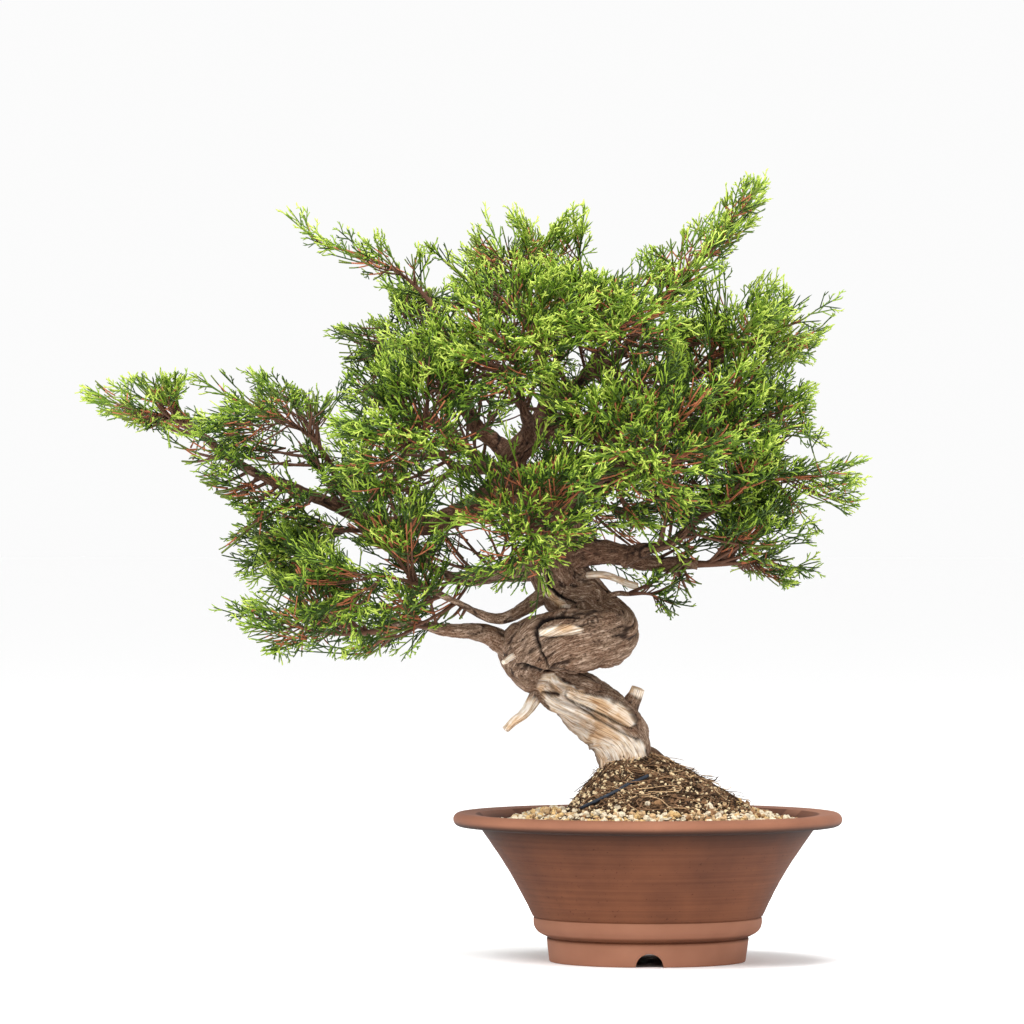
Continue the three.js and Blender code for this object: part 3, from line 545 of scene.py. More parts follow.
def toned(colour, share):
    """A colour written as bytes, lighter or darker by this share."""
    parts = [min(round((colour >> shift & 255) * share), 255) for shift in (16, 8, 0)]
    return parts[0] << 16 | parts[1] << 8 | parts[2]


class Paint:
    """A material and the nodes that colour it."""

    def __init__(self, name, roughness, specular=0.3):
        self.material = bpy.data.materials.new(name)
        self.material.use_nodes = True
        self.nodes = self.material.node_tree.nodes
        self.shader = self.nodes["Principled BSDF"]
        self.set("Roughness", roughness)
        self.set("Specular IOR Level", specular)

    def set(self, name, value):
        self.shader.inputs[name].default_value = value

    def link(self, source, target):
        self.material.node_tree.links.new(source, target)

    def node(self, kind, values=None, **links):
        """A node with input values and with links from other nodes' outputs."""
        node = self.nodes.new(kind)
        for name, value in (values or {}).items():
            node.inputs[name].default_value = value
        for name, source in links.items():
            self.link(source, node.inputs[name])
        return node

    def stored(self, name, output="Fac"):
        """A value that the mesh holds at each point."""
        node = self.nodes.new("ShaderNodeAttribute")
        node.attribute_name = name
        return node.outputs[output]

    def place(self):
        return self.node("ShaderNodeTexCoord").outputs["Object"]

    def noise(self, place, scale, detail, stretch=(1, 1, 1)):
        mapping = self.node("ShaderNodeMapping", {"Scale": stretch}, Vector=place)
        values = {"Scale": scale, "Detail": detail, "Roughness": 0.6}
        return self.node("ShaderNodeTexNoise", values, Vector=mapping.outputs[0]).outputs["Fac"]

    def ramp(self, source, *stops):
        """Colours by a value: stops are pairs of place and colour."""
        node = self.node("ShaderNodeValToRGB", Fac=source)
        elements = node.color_ramp.elements
        while len(elements) < len(stops):
            elements.new(0.5)
        for element, (place, colour) in zip(elements, stops):
            element.position = place
            element.color = linear(colour)
        return node.outputs["Color"]

    def mix(self, share, first, second, blend="MIX"):
        node = self.nodes.new("ShaderNodeMix")
        node.data_type = "RGBA"
        node.blend_type = blend
        if isinstance(share, float):
            node.inputs[0].default_value = share
        else:
            self.link(share, node.inputs[0])
        self.link(first, node.inputs[6])
        self.link(second, node.inputs[7])
        return node.outputs[2]

    def darken(self, share, colour, source, *stops):
        """A colour times the colours of a ramp."""
        return self.mix(share, colour, self.ramp(source, *stops), "MULTIPLY")

    def finish(self, colour, source, roughness, height, bump):
        """The material with this colour, a range of roughness, and bumps of a strength and a height."""
        self.link(colour, self.shader.inputs["Base Color"])
        values = {"To Min": roughness[0], "To Max": roughness[1]}
        node = self.node("ShaderNodeMapRange", values, Value=source)
        self.link(node.outputs["Result"], self.shader.inputs["Roughness"])
        node = self.node("ShaderNodeBump", {"Strength": bump[0], "Distance": bump[1]}, Height=height)
        self.link(node.outputs["Normal"], self.shader.inputs["Normal"])
        return self.material


def plain_material(name, colour, roughness, specular=0.3):
    paint = Paint(name, roughness, specular)
    paint.set("Base Color", linear(colour))
    return paint.material


def bark_material(name):
    """Fibrous bark with painted shade in its cracks and creases and inside the crown, with bare wood where
    the mesh says so.
    """
    paint = Paint(name, 0.9, 0.2)
    grain = paint.stored("grain", "Vector")
    fibres = paint.noise(grain, 0.8, 6, (1, 1, 0.2))
    patches = paint.noise(grain, 0.08, 4)
    flakes = paint.noise(grain, 1.7, 5, (1, 1, 0.6))
    bark = paint.ramp(fibres, (0.32, 0x4C372A), (0.5, 0x846A56), (0.66, 0xD0BAA6))
    bark = paint.mix(0.35, bark, paint.ramp(patches, (0.38, 0x745543), (0.6, 0x8C7A6A)))
    bark = paint.darken(0.85, bark, flakes, (0.36, 0x5A473B), (0.48, 0xDCD2CA), (0.6, WHITE))
    # Darker in the low places of the relief: painted shade in the cracks and hollows
    bark = paint.darken(0.85, bark, paint.stored("relief"), (0.2, 0x3E2A20), (0.5, WHITE))
    # Painted shade on the bark inside the crown
    bark = paint.darken(1.0, bark, paint.stored("inner"), (0.0, WHITE), (1.0, 0xBCAAA0))
    lines = paint.noise(grain, 1.0, 6, (1, 1, 0.1))
    wood = paint.ramp(lines, (0.32, 0xA88A6C), (0.44, 0xDCC9B0), (0.6, 0xF4ECE2))
    splits = paint.noise(grain, 0.26, 3, (1, 1, 0.06))
    wood = paint.darken(0.7, wood, splits, (0.47, WHITE), (0.5, 0x7A5A42), (0.53, WHITE))
    wood = paint.darken(0.8, wood, patches, (0.4, 0xE2C29C), (0.55, WHITE))
    colour = paint.mix(paint.stored("bare"), bark, wood)
    # Painted shade in the creases along scar edges and in the knot's rings
    colour = paint.darken(1.0, colour, paint.stored("painted_crease_shade"), (0.1, WHITE), (0.8, 0x2C1C14))
    return paint.finish(colour, flakes, (0.72, 1.0), flakes, (0.5, 0.0006))


def stoneware_material(name):
    """Unglazed clay with fine turning lines, paler on the lip, band and foot by wear and painted highlight,
    with painted shadow under the lip.
    """
    paint = Paint(name, 0.78, 0.22)
    place = paint.place()
    clouds = paint.noise(place, 18, 4)
    rings = paint.noise(place, 40, 5, (0.15, 0.15, 20))
    specks = paint.noise(place, 700, 2)
    clay = paint.ramp(clouds, (0.35, 0x4D2A1B), (0.65, 0x70432C))
    clay = paint.mix(0.3, clay, paint.ramp(rings, (0.35, 0x4C2A1B), (0.65, 0x70452F)))
    clay = paint.darken(0.8, clay, specks, (0.26, 0xB0A096), (0.34, WHITE))
    pale = paint.ramp(clouds, (0.3, 0x8E5E48), (0.7, 0x9C6C55))
    # Paler clay on the lip, band and foot: partly wear, partly painted highlight and painted light
    clay = paint.mix(paint.stored("worn_and_lit"), clay, pale)
    # Painted shadow under the lip and on the lip's lower part
    clay = paint.darken(1.0, clay, paint.stored("painted_lip_shadow"), (0.0, WHITE), (1.0, 0x62584F))
    return paint.finish(clay, clouds, (0.62, 0.88), rings, (0.3, 0.0004))


def soil_material(name):
    paint = Paint(name, 0.95, 0.15)
    crumbs = paint.noise(paint.place(), 260, 5)
    colour = paint.ramp(crumbs, (0.3, 0x281C14), (0.52, 0x463426), (0.72, 0x7C6046))
    return paint.finish(colour, crumbs, (0.8, 1.0), crumbs, (0.6, 0.001))


def speckled_material(name, colour, scale, roughness):
    """One colour with darker and paler specks, rough where they are dark."""
    paint = Paint(name, roughness)
    specks = paint.noise(paint.place(), scale, 4)
    tones = paint.ramp(specks, (0.3, toned(colour, 0.7)), (0.5, colour), (0.7, toned(colour, 1.15)))
    return paint.finish(tones, specks, (roughness + 0.1, roughness - 0.1), specks, (0.4, 0.0004))


def speckled_kinds(kind, kinds):
    materials = {}
    for name, (colour, _) in kinds.items():
        materials[name] = speckled_material(f"{kind}_{name}", colour, SPECKS[kind], 0.88)
    return materials


# Meshes
def linked(name, data):
    """A new object in the scene."""
    thing = bpy.data.objects.new(name, data)
    bpy.context.scene.collection.objects.link(thing)
    return thing


def add_piece(name, points, triangles, material, slot, nodes=(), values=None, flat=False):
    """A mesh piece from points in millimetres about the pot's axis, standing for these solids."""
    mesh = bpy.data.meshes.new(name)
    mesh.vertices.add(len(points))
    mesh.vertices.foreach_set("co", (points * METRES + POT_AXIS).astype(np.float32).ravel())
    mesh.loops.add(3 * len(triangles))
    mesh.loops.foreach_set("vertex_index", triangles.astype(np.int32).ravel())
    mesh.polygons.add(len(triangles))
    mesh.polygons.foreach_set("loop_start", np.arange(0, 3 * len(triangles), 3, dtype=np.int32))
    mesh.polygons.foreach_set("use_smooth", np.full(len(triangles), not flat))
    mesh.update(calc_edges=True)
    for key, value in (values or {}).items():
        kind = "FLOAT_VECTOR" if value.ndim == 2 else "FLOAT"
        stored = mesh.attributes.new(key, kind, "POINT")
        stored.data.foreach_set("vector" if value.ndim == 2 else "value", value.astype(np.float32).ravel())
    mesh.materials.append(material)
    piece = linked(name, mesh)
    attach(piece, "root")
    if nodes:
        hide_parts(*nodes)


def add_kinds(kind, shapes, materials, slot, flat=False):
    """One piece for each kind of small thing."""
    for name, group in shapes.items():
        points, triangles = joined(group)
        add_piece(f"{kind}_{name}", points, triangles, materials[name], slot, flat=flat)


def ring_triangles(rings, sides, closed):
    """Triangles between rings of points, facing out; closed joins the last ring to the first."""
    steps = rings if closed else rings - 1
    ring, side = np.meshgrid(np.arange(steps), np.arange(sides), indexing="ij")
    above = (ring + 1) % rings
    beside = (side + 1) % sides
    a, b = ring * sides + side, ring * sides + beside
    c, d = above * sides + beside, above * sides + side
    return np.concatenate([np.stack([a, b, c], -1).reshape(-1, 3), np.stack([a, c, d], -1).reshape(-1, 3)])


def carried_frames(points):
    """Two directions across a line of points, carried along it without twist."""
    padded = np.concatenate([points[:1], points, points[-1:]])
    tangents = unit(padded[2:] - padded[:-2])
    normal = FIRST_NORMAL
    normals = []
    for tangent in tangents:
        normal = unit(normal - tangent * (normal @ tangent))
        normals.append(normal)
    normals = np.array(normals)
    return normals, np.cross(tangents, normals)


def outward_rings(normals, across, angles):
    """Directions round each point of a line."""
    return normals[:, None] * np.cos(angles)[None, :, None] + across[:, None] * np.sin(angles)[None, :, None]


def capped(points, rings, sides):
    """Adds an end point at the middle of the first and the last ring."""
    grid = points.reshape(rings, sides, 3)
    both = np.concatenate([points, grid[:1].mean(1), grid[-1:].mean(1)])
    first, last = len(points), len(points) + 1
    side = np.arange(sides)
    beside = (side + 1) % sides
    top = (rings - 1) * sides
    start = np.stack([np.full(sides, first), beside, side], -1)
    end = np.stack([np.full(sides, last), top + side, top + beside], -1)
    return both, np.concatenate([ring_triangles(rings, sides, False), start, end])


def tube(points, radii, sides):
    """A closed round tube along a line of points."""
    ring = outward_rings(*carried_frames(points), circle(sides))
    placed = points[:, None] + ring * np.asarray(radii)[:, None, None]
    return capped(placed.reshape(-1, 3), len(points), sides)


def joined(shapes):
    """Several shapes as one."""
    starts = np.cumsum([0] + [len(points) for points, _ in shapes])
    points = np.concatenate([points for points, _ in shapes])
    return points, np.concatenate([triangles + start for (_, triangles), start in zip(shapes, starts)])


# Limbs
def trunk_curve(shares):
    """Points of the trunk's centre line: an even-tempered curve through its stations."""
    stations = TRUNK[:, :3]
    ends = (2 * stations[:1] - stations[1:2], 2 * stations[-1:] - stations[-2:-1])
    padded = np.concatenate([ends[0], stations, ends[1]])
    place = np.asarray(shares, float) * (len(stations) - 1)
    step = np.minimum(np.floor(place).astype(int), len(stations) - 2)
    part = (place - step)[:, None]
    p0, p1, p2, p3 = (padded[step + i] for i in range(4))
    pairs = ((p0, p1), (p1, p2), (p2, p3))
    d0, d1, d2 = (np.sqrt(np.linalg.norm(b - a, axis=1))[:, None] for a, b in pairs)
    leave = ((p1 - p0) / d0 - (p2 - p0) / (d0 + d1) + (p2 - p1) / d1) * d1
    arrive = ((p2 - p1) / d1 - (p3 - p1) / (d1 + d2) + (p3 - p2) / d2) * d1
    cubic = 2 * p1 - 2 * p2 + leave + arrive
    square = 3 * p2 - 3 * p1 - 2 * leave - arrive
    return p1 + leave * part + square * part**2 + cubic * part**3


def trunk_radius(shares):
    return np.interp(np.asarray(shares) * (len(TRUNK) - 1), np.arange(len(TRUNK)), TRUNK[:, 3])


def grow_limb(row, parent, draw):
    """A limb's centre line and radius as functions of the share along it."""
    start = parent["points"][round(row["at"] * (len(parent["points"]) - 1))]
    tip = row["tip"]
    middle = (start + tip) / 2 + np.array([0, 2 * row["sway"], 2 * row["lift"]])
    wander = WANDER["size"] * np.linalg.norm(tip - start)
    phase = [draw() * FULL_TURN, draw() * FULL_TURN]

    def curve(shares):
        share = np.asarray(shares, float)
        points = bezier(start, middle, tip, share)
        held = 4 * share * (1 - share) * wander
        points[:, 1] += held * np.sin(WANDER["back"] * share + phase[0])
        points[:, 2] += held * np.sin(WANDER["up"] * share + phase[1])
        return points

    def radius(shares):
        return lerp(row["thick"][0], row["thick"][1], np.asarray(shares, float) ** LIMB_TAPER)

    return limb_of(curve, radius, LIMB_STEPS)


def limb_of(curve, radius, steps):
    shares = np.linspace(0, 1, steps + 1)
    return {"curve": curve, "radius": radius, "points": curve(shares), "radii": radius(shares)}


def grow_limbs():
    grown = {"trunk": limb_of(trunk_curve, trunk_radius, (len(TRUNK) - 1) * TRUNK_STEPS_PER_STATION)}
    for i, row in enumerate(STUBS + BOUGHS):
        grown[row["name"]] = grow_limb(row, grown[row["parent"]], seeded(LIMB_SEED + i))
    return grown


def away_from_line(points, line):
    """How far points lie from a line through several places, and at which share of it."""
    steps = len(line) - 1
    away = np.full(points.shape[:-1], np.inf)
    place = np.zeros_like(away)
    for i, (start, end) in enumerate(zip(line[:-1], line[1:])):
        along = end - start
        share = np.clip(((points - start) @ along) / (along @ along), 0, 1)
        off = np.linalg.norm(points - start - share[..., None] * along, axis=-1)
        nearer = off < away
        away = np.where(nearer, off, away)
        place = np.where(nearer, (i + share) / steps, place)
    return away, place


def scar_values(points, grain, outward):
    """How bare each point of the trunk's front is, how deep it lies and how much painted shade darkens its
    creases.
    """
    bare = np.zeros(points.shape[:-1])
    deep = np.zeros_like(bare)
    painted_crease_shade = np.zeros_like(bare)
    flat = points[..., [0, 2]]
    facing = smoothstep(*SCAR["facing"], -outward[..., 1])
    streaks = noise(grain, SCAR["streaks"], SCAR_SEEDS["streaks"])
    torn = SCAR["ragged"] * noise(points, SCAR["ragged_size"], SCAR_SEEDS["ragged"])
    for scar in SCARS:
        away, share = away_from_line(flat, scar["line"])
        along = np.clip(SCAR["ends"][0] + SCAR["ends"][1] * share, 0, 1)
        wide = scar["wide"] * (SCAR["narrow"] + SCAR["widening"] * np.sin(math.pi * along))
        ragged = away / wide + torn + SCAR["split"] * streaks
        inside = (1 - smoothstep(*SCAR["inside"], ragged)) * facing
        streaky = np.clip(scar["bare"] + (1 - scar["bare"]) * SCAR["streaky"] * streaks, 0, 1)
        if scar["bare"]:
            bare = np.maximum(bare, inside * streaky)
            edge = bell(ragged, *SCAR["edge"]) * facing
        else:
            edge = bell(ragged) * facing
            inside = edge
        lip = bell(ragged, *SCAR["lip"]) * facing
        hollow = inside * (1 - SCAR["hollow"] * np.clip(ragged, 0, 1))
        deep += scar["deep"] * (hollow - SCAR["lip_height"] * lip)
        # Painted shade along the scar's edge
        painted_crease_shade = np.maximum(painted_crease_shade, scar["edge"] * edge)
    middle = np.linalg.norm(flat - KNOT["place"], axis=-1) / KNOT["radius"]
    middle = middle + KNOT["ragged"] * noise(points, KNOT["ragged_size"], SCAR_SEEDS["knot"])
    knot = (1 - smoothstep(*KNOT["edge"], middle)) * facing
    deep -= KNOT["height"] * knot * (1 - KNOT["eye_depth"] * (1 - smoothstep(*KNOT["eye"], middle)))
    # Dark rings on the knot: painted shade in its creases
    lines = smoothstep(*KNOT["lines"], np.sin(FULL_TURN * KNOT["rings"] * middle))
    painted_crease_shade = np.maximum(painted_crease_shade, KNOT["dark"] * knot * lines)
    return bare, deep, painted_crease_shade


def bark_limb(limb, rings, sides, seed, trunk=False, bare_from=1.0):
    """A limb with bark: ribs wind slowly round it, fibres and cracks run along it, and lumps swell it."""
    shares = np.linspace(0, 1, rings)
    line = limb["curve"](shares)
    radii = limb["radius"](shares)
    angles = circle(sides)
    outward = outward_rings(*carried_frames(line), angles)
    run = np.concatenate([[0], np.cumsum(np.linalg.norm(np.diff(line, axis=0), axis=1))])
    wander = noise(np.stack([run, run, run], -1), WINDING["size"], seed)
    wind = angles[None] + WINDING["turn"] * run[:, None] + WINDING["wander"] * wander[:, None]
    width = radii[:, None]
    grain = np.stack([np.cos(wind) * width, np.sin(wind) * width, run[:, None] + 0 * wind], -1)
    waves = [noise(grain, WINDING["wave_size"], seed + step) for step in (7, 8)]
    wavy = grain + WINDING["wave"] * np.stack([*waves, 0 * wind], -1)
    knobs = noise(grain, BARK["knobs"], seed + 5)
    lumps = noise(grain, BARK["lumps"], seed + 1) + BARK_SWELL["knobs"] * knobs
    ridges = 1 - 2 * np.abs(noise(wavy, BARK["ridges"], seed + 2))
    fibres = 1 - 2 * np.abs(noise(wavy, BARK["fibres"], seed + 3))
    crumbs = noise(grain, BARK["crumbs"], seed + 4)
    crack = 1 - smoothstep(0.0, CRACK_WIDTH, np.abs(noise(wavy, BARK["cracks"], seed + 6)))
    relief = BARK_RELIEF["ridges"] * ridges + BARK_RELIEF["fibres"] * fibres
    relief = relief + BARK_RELIEF["crumbs"] * crumbs - BARK_RELIEF["cracks"] * crack
    coarse = np.minimum(COARSE["trunk" if trunk else "limb"] * width, COARSE["most"])
    swell = coarse * (BARK_SWELL["lumps"] * lumps + BARK_SWELL["relief"] * relief - BARK_SWELL["sunk"])
    ragged = shares[:, None] + BARE_BLEND["ragged"] * lumps
    bare = smoothstep(bare_from, bare_from + BARE_BLEND["length"], ragged)
    painted_crease_shade = np.zeros(wind.shape)
    # Painted shade on the bark inside the crown, over these heights
    inner = smoothstep(*SHADED_BARK, line[:, None, 2] + 0 * wind) * (1 - bare.max())
    if trunk:
        turn = LOBES["twist"] * shares[:, None] * (len(TRUNK) - 1)
        swell += width * LOBES["depth"] * np.cos(LOBES["count"] * angles[None] - turn)
        bare, deep, painted_crease_shade = scar_values(line[:, None] + outward * width[..., None], grain, outward)
        swell = lerp(swell, BARE_SWELL * swell, bare) - deep
    else:
        swell += COLLAR["height"] * np.exp(-run / (COLLAR["reach"] * radii[0]))[:, None] * width
    placed = line[:, None] + outward * (width + swell)[..., None]
    if trunk:
        placed[..., 2] = np.maximum(placed[..., 2], TRUNK[0, 2])
    points, triangles = capped(placed.reshape(-1, 3), rings, sides)

    def ended(value):
        ends = value.reshape(rings, sides, -1)[[0, -1]].mean(1)
        return np.concatenate([value.reshape(rings * sides, -1), ends])

    values = {"relief": 0.5 + 0.5 * relief, "bare": bare, "painted_crease_shade": painted_crease_shade, "inner": inner}
    values = {name: ended(value)[:, 0] for name, value in values.items()}
    return points, triangles, {"grain": ended(grain + GRAIN_OFFSET * seed), **values}


def add_limbs(bark):
    """Trunk, boughs, stubs and the surface root with bark relief."""
    points, triangles, values = bark_limb(limbs["trunk"], TRUNK_RINGS, TRUNK_SIDES, 1, trunk=True)
    add_piece("trunk_bark", points, triangles, bark, "bark", ["trunk"], values)
    for i, row in enumerate(STUBS + BOUGHS):
        name = row["name"]
        node = name if row in STUBS else "bough_" + name
        slot = "deadwood" if name in BARE_FROM else "bark"
        bare_from = BARE_FROM.get(name, NEVER_BARE)
        points, triangles, values = bark_limb(
            limbs[name], LIMB_RINGS, LIMB_SIDES, i + 2, bare_from=bare_from,
        )
        add_piece(node + "_bark", points, triangles, bark, slot, [node], values)


# Foliage masses
def stem_of(row, limb):
    along = unit(limb["points"][-1] - limb["points"][-2])
    root = limb["points"][-1] + along * GAP
    length = np.linalg.norm(row["tip"] - root)
    bend = root + along * STEM["bend"] * length
    end = lerp(root, row["tip"], 1 - STEM["short"] * SOLID_SPRAY * row["spray"] / length)
    points = bezier(root, bend, end, np.linspace(0, 1, STEM["steps"] + 1))
    radius = min(limb["radii"][-1], STEM["radius"])
    return {
        "root": root, "tip": row["tip"], "bend": bend, "end": end, "points": points, "length": length,
        "radius_at": lambda share: lerp(radius, STEM["tip_radius"] * row["spray"], share),
    }


def space_of(row, stem):
    """The egg-shaped space round a stem: its axes, and how far out a point lies, where 1 is the skin."""
    centre = (stem["root"] + stem["tip"]) / 2
    along = unit(stem["tip"] - stem["root"])
    side = np.cross(UP, along)
    if np.linalg.norm(side) < UPRIGHT:
        side = np.array([1.0, 0, 0]) - along * along[0]
    side = unit(side)
    over = np.cross(along, side)

    def outness(points):
        away = points - centre
        lengthwise = away @ along / (0.5 * stem["length"] + EGG_EXTRA)
        girth = np.maximum(1 - EGG_TAPER * lengthwise, EGG_LEAST)
        across = away @ side / (row["wide"] * girth)
        above = away @ over / (row["high"] * girth)
        return np.sqrt(lengthwise**2 + across**2 + above**2)

    return {"along": along, "side": side, "over": over, "outness": outness}


def distance_to_lines(points, starts, ends):
    """The distance from each point to each line, as a table of points by lines."""
    along = ends - starts
    away = points[:, None] - starts[None]
    share = np.clip((away * along).sum(-1) / (along * along).sum(-1), 0, 1)
    return np.linalg.norm(away - share[..., None] * along, axis=-1)


def clear_of_limbs(points):
    return (distance_to_lines(points, LIMB_STARTS, LIMB_ENDS) >= LIMB_REACH).all(1)


def has_room(points, mass):
    """True where points lie in the mass's own space, nearest to its own stem, and clear of every limb."""
    roomy = mass["space"]["outness"](points) <= 1
    away = distance_to_lines(points, MASS_ROOTS, MASS_TIPS)
    own = away[:, mass["index"]].copy()
    away[:, mass["index"]] = np.inf
    return roomy & (away.min(1) >= own + 2 * SPACE_MARGIN) & clear_of_limbs(points)


def in_reach(points, mass):
    """True where points lie in the mass's space or just outside it, in the outline and clear of limbs."""
    return (mass["space"]["outness"](points) <= FINER_REACH) & in_outline(points) & clear_of_limbs(points)


def in_crown(points):
    """True where points lie in or just outside any mass's space, and clear of every limb."""
    least = np.min([mass["space"]["outness"](points) for mass in masses], axis=0)
    return (least <= FINER_REACH) & clear_of_limbs(points)


def crown_depth(points):
    """How far out in the crown points lie: 0 at its middle, about 1 at its skin."""
    return np.linalg.norm((points - CROWN["centre"]) / CROWN["half"], axis=1)


def seen_from_front(points):
    """Where points seem to lie in the pot's own plane, as x and z."""
    return (points[:, [0, 2]] - EYE) / (1 + points[:, 1:2] / VIEW_DISTANCE) + EYE


def in_outline(points):
    """True where points lie within the crown's outline as it is seen from the front."""
    x, z = seen_from_front(points).T
    inside = np.zeros(len(x), bool)
    for (x0, z0), (x1, z1) in zip(OUTLINE, OUTLINE[1:] + OUTLINE[:1]):
        if z0 != z1:
            inside ^= ((z0 > z) != (z1 > z)) & (x < x0 + (z - z0) / (z1 - z0) * (x1 - x0))
    return inside


def from_outline(points):
    """How far points lie from the crown's outline as it is seen from the front."""
    return away_from_line(seen_from_front(points), np.array(OUTLINE + OUTLINE[:1], float))[0]


def in_patches(points, patches):
    """True where points lie before any of these patches as they are seen from the front."""
    off = (seen_from_front(points)[:, None] - patches[None, :, :2]) / patches[None, :, 2:]
    return ((off**2).sum(-1) < 1).any(1)


def in_lace(points):
    """True where points lie before one of the small gaps in the crown."""
    x, z = seen_from_front(points).T
    return noise(np.stack([x, 0 * x, z], -1), LACE["size"], LACE["seed"]) > LACE["above"]


def first_stop(reaches, free, longest):
    return longest if free.all() else reaches[np.argmin(free)]


def view_reach(start, heading, longest):
    """How far a twig can run before it leaves the outline or comes before an open patch."""
    reaches = np.arange(1.0, longest + TWIG["step"], TWIG["step"])
    points = start + reaches[:, None] * heading
    opened = in_patches(points, OPEN) & (points[:, 1] < OPEN_DEPTH)
    return first_stop(reaches, in_outline(points) & ~in_patches(points, SKY) & ~opened, longest)


def reach_of(start, heading, longest, roomy):
    """How far a twig can run before it leaves the room it has."""
    reaches = np.arange(TWIG["least"], longest + TWIG["step"], TWIG["step"])
    return first_stop(reaches, roomy(start + reaches[:, None] * heading), reaches[-1])


def point_on(points, share):
    place = share * (len(points) - 1)
    step = min(int(place), len(points) - 2)
    return lerp(points[step], points[step + 1], place - step)


def turned_heading(along, side, over, turn, spread, upsweep):
    around = side * math.cos(turn) + over * math.sin(turn)
    return unit(along * math.cos(spread) + around * math.sin(spread) + upsweep * UP)


def level_across(heading):
    """A level direction across a heading."""
    return unit(np.cross(heading, UP) + NUDGE)


def golden_share(i):
    """Shares that spread evenly along a stem, however many there are."""
    return (0.5 + i * GOLDEN_SHARE) % 1


def golden_turn(i, draw):
    """The turn of one twig after another about their stem, more or less by the golden angle."""
    return i * GOLDEN_ANGLE + TWIG_TURN * (draw() - 0.5)


def alternate_turn(i, twig, roll, draw):
    """The turn to one side of a twig and then to the other, more or less."""
    return math.pi * ((i + twig["odd"]) % 2) + roll * (draw() - 0.5)


def twig_row(start, heading, length, thick, i=0, leading=False):
    return {
        "start": start, "heading": heading, "length": length, "thick": thick,
        "odd": i % 2, "leading": leading,
    }


def grow_twigs(mass):
    """The solid's own twigs, then finer ones by the same rule that may reach in among the next masses."""
    row, stem, space = mass["row"], mass["stem"], mass["space"]
    first, finer = seeded(mass["seed"]), seeded(mass["seed"] + FINER_SEED)
    twigs = []
    for i in range(round(row["twigs"] * FINER_TWIGS * FINER_MORE.get(row["name"], 1))):
        own = i < row["twigs"]
        draw = first if own else finer
        share = TWIG["first"] + TWIG["range"] * golden_share(i)
        turn = golden_turn(i, draw)
        spread = TWIG_SPREAD * varied(draw)
        kept = TWIG_KEEP if own else FINER_KEEP
        keep = kept["least"] + kept["range"] * draw()
        start = point_on(stem["points"], share)
        upsweep = UPSWEEP if own else UPSWEEP * lerp(*FINER_SWEEP, draw())
        heading = turned_heading(space["along"], space["side"], space["over"], turn, spread, upsweep)
        room = has_room if own else in_reach
        length = keep * reach_of(start, heading, TWIG["most"] / keep, lambda points: room(points, mass))
        length = min(length, view_reach(start, heading, TWIG["most"]))
        if length >= (TWIG["least"] if own else FINER_LEAST):
            thick = TWIG["thick"] * stem["radius_at"](share) * lerp(1, SLIM, share)
            twigs.append(twig_row(start, heading, length, thick, i))
    return twigs


def grow_bough_twigs(name, limb, seed):
    """Side twigs along the outer part of a bough."""
    draw = seeded(seed)
    bare = BARE_SHARES.get(name, BARE_SHARE)
    run = np.linalg.norm(np.diff(limb["points"], axis=0), axis=1).sum()
    twigs = []
    for i in range(round(run * (1 - bare) / BOUGH_TWIG["step"])):
        share = lerp(bare, BOUGH_TWIG["last"], golden_share(i))
        start, ahead = limb["curve"]([share, min(share + BOUGH_TWIG["ahead"], 1)])
        along = unit(ahead - start)
        side = unit(np.cross(UP, along))
        turn = golden_turn(i, draw)
        spread = BOUGH_TWIG["spread"] * varied(draw)
        upsweep = UPSWEEP * lerp(*BOUGH_SWEEP, draw())
        heading = turned_heading(along, side, np.cross(along, side), turn, spread, upsweep)
        length = BOUGH_TWIG["length"] * varied(draw) * lerp(*BOUGH_TWIG["lengths"], share)
        root = start + heading * limb["radius"](share) * BOUGH_TWIG["sunk"]
        length = min(length, view_reach(root, heading, length))
        if length >= FINER_LEAST:
            twigs.append(twig_row(root, heading, length, BOUGH_TWIG["thick"], i))
    return twigs


def grow_twiglets(twigs, seed):
    """Twiglets to alternate sides of each twig, shorter towards its end."""
    draw = seeded(seed)
    twiglets = []
    for twig in twigs:
        across = level_across(twig["heading"])
        over = np.cross(across, twig["heading"])
        count = int(twig["length"] * (TWIGLET["last"] - TWIGLET["first"]) / TWIGLET["step"])
        for i in range(count):
            share = lerp(TWIGLET["first"], TWIGLET["last"], (i + TWIGLET["jitter"] * draw()) / count)
            side = alternate_turn(i, twig, TWIGLET["roll"], draw)
            spread = TWIGLET["spread"] * varied(draw)
            upsweep = TWIGLET["upsweep"] * UPSWEEP
            heading = turned_heading(twig["heading"], across, over, side, spread, upsweep)
            start = twig["start"] + twig["heading"] * twig["length"] * share
            length = (TWIGLET["length"] + TWIGLET["more"] * (1 - share) * twig["length"]) * varied(draw)
            length = min(length, view_reach(start, heading, length))
            if length >= TWIGLET["least"]:
                twiglets.append(twig_row(start, heading, length, TWIGLET["thick"] * twig["thick"], i))
    return twiglets


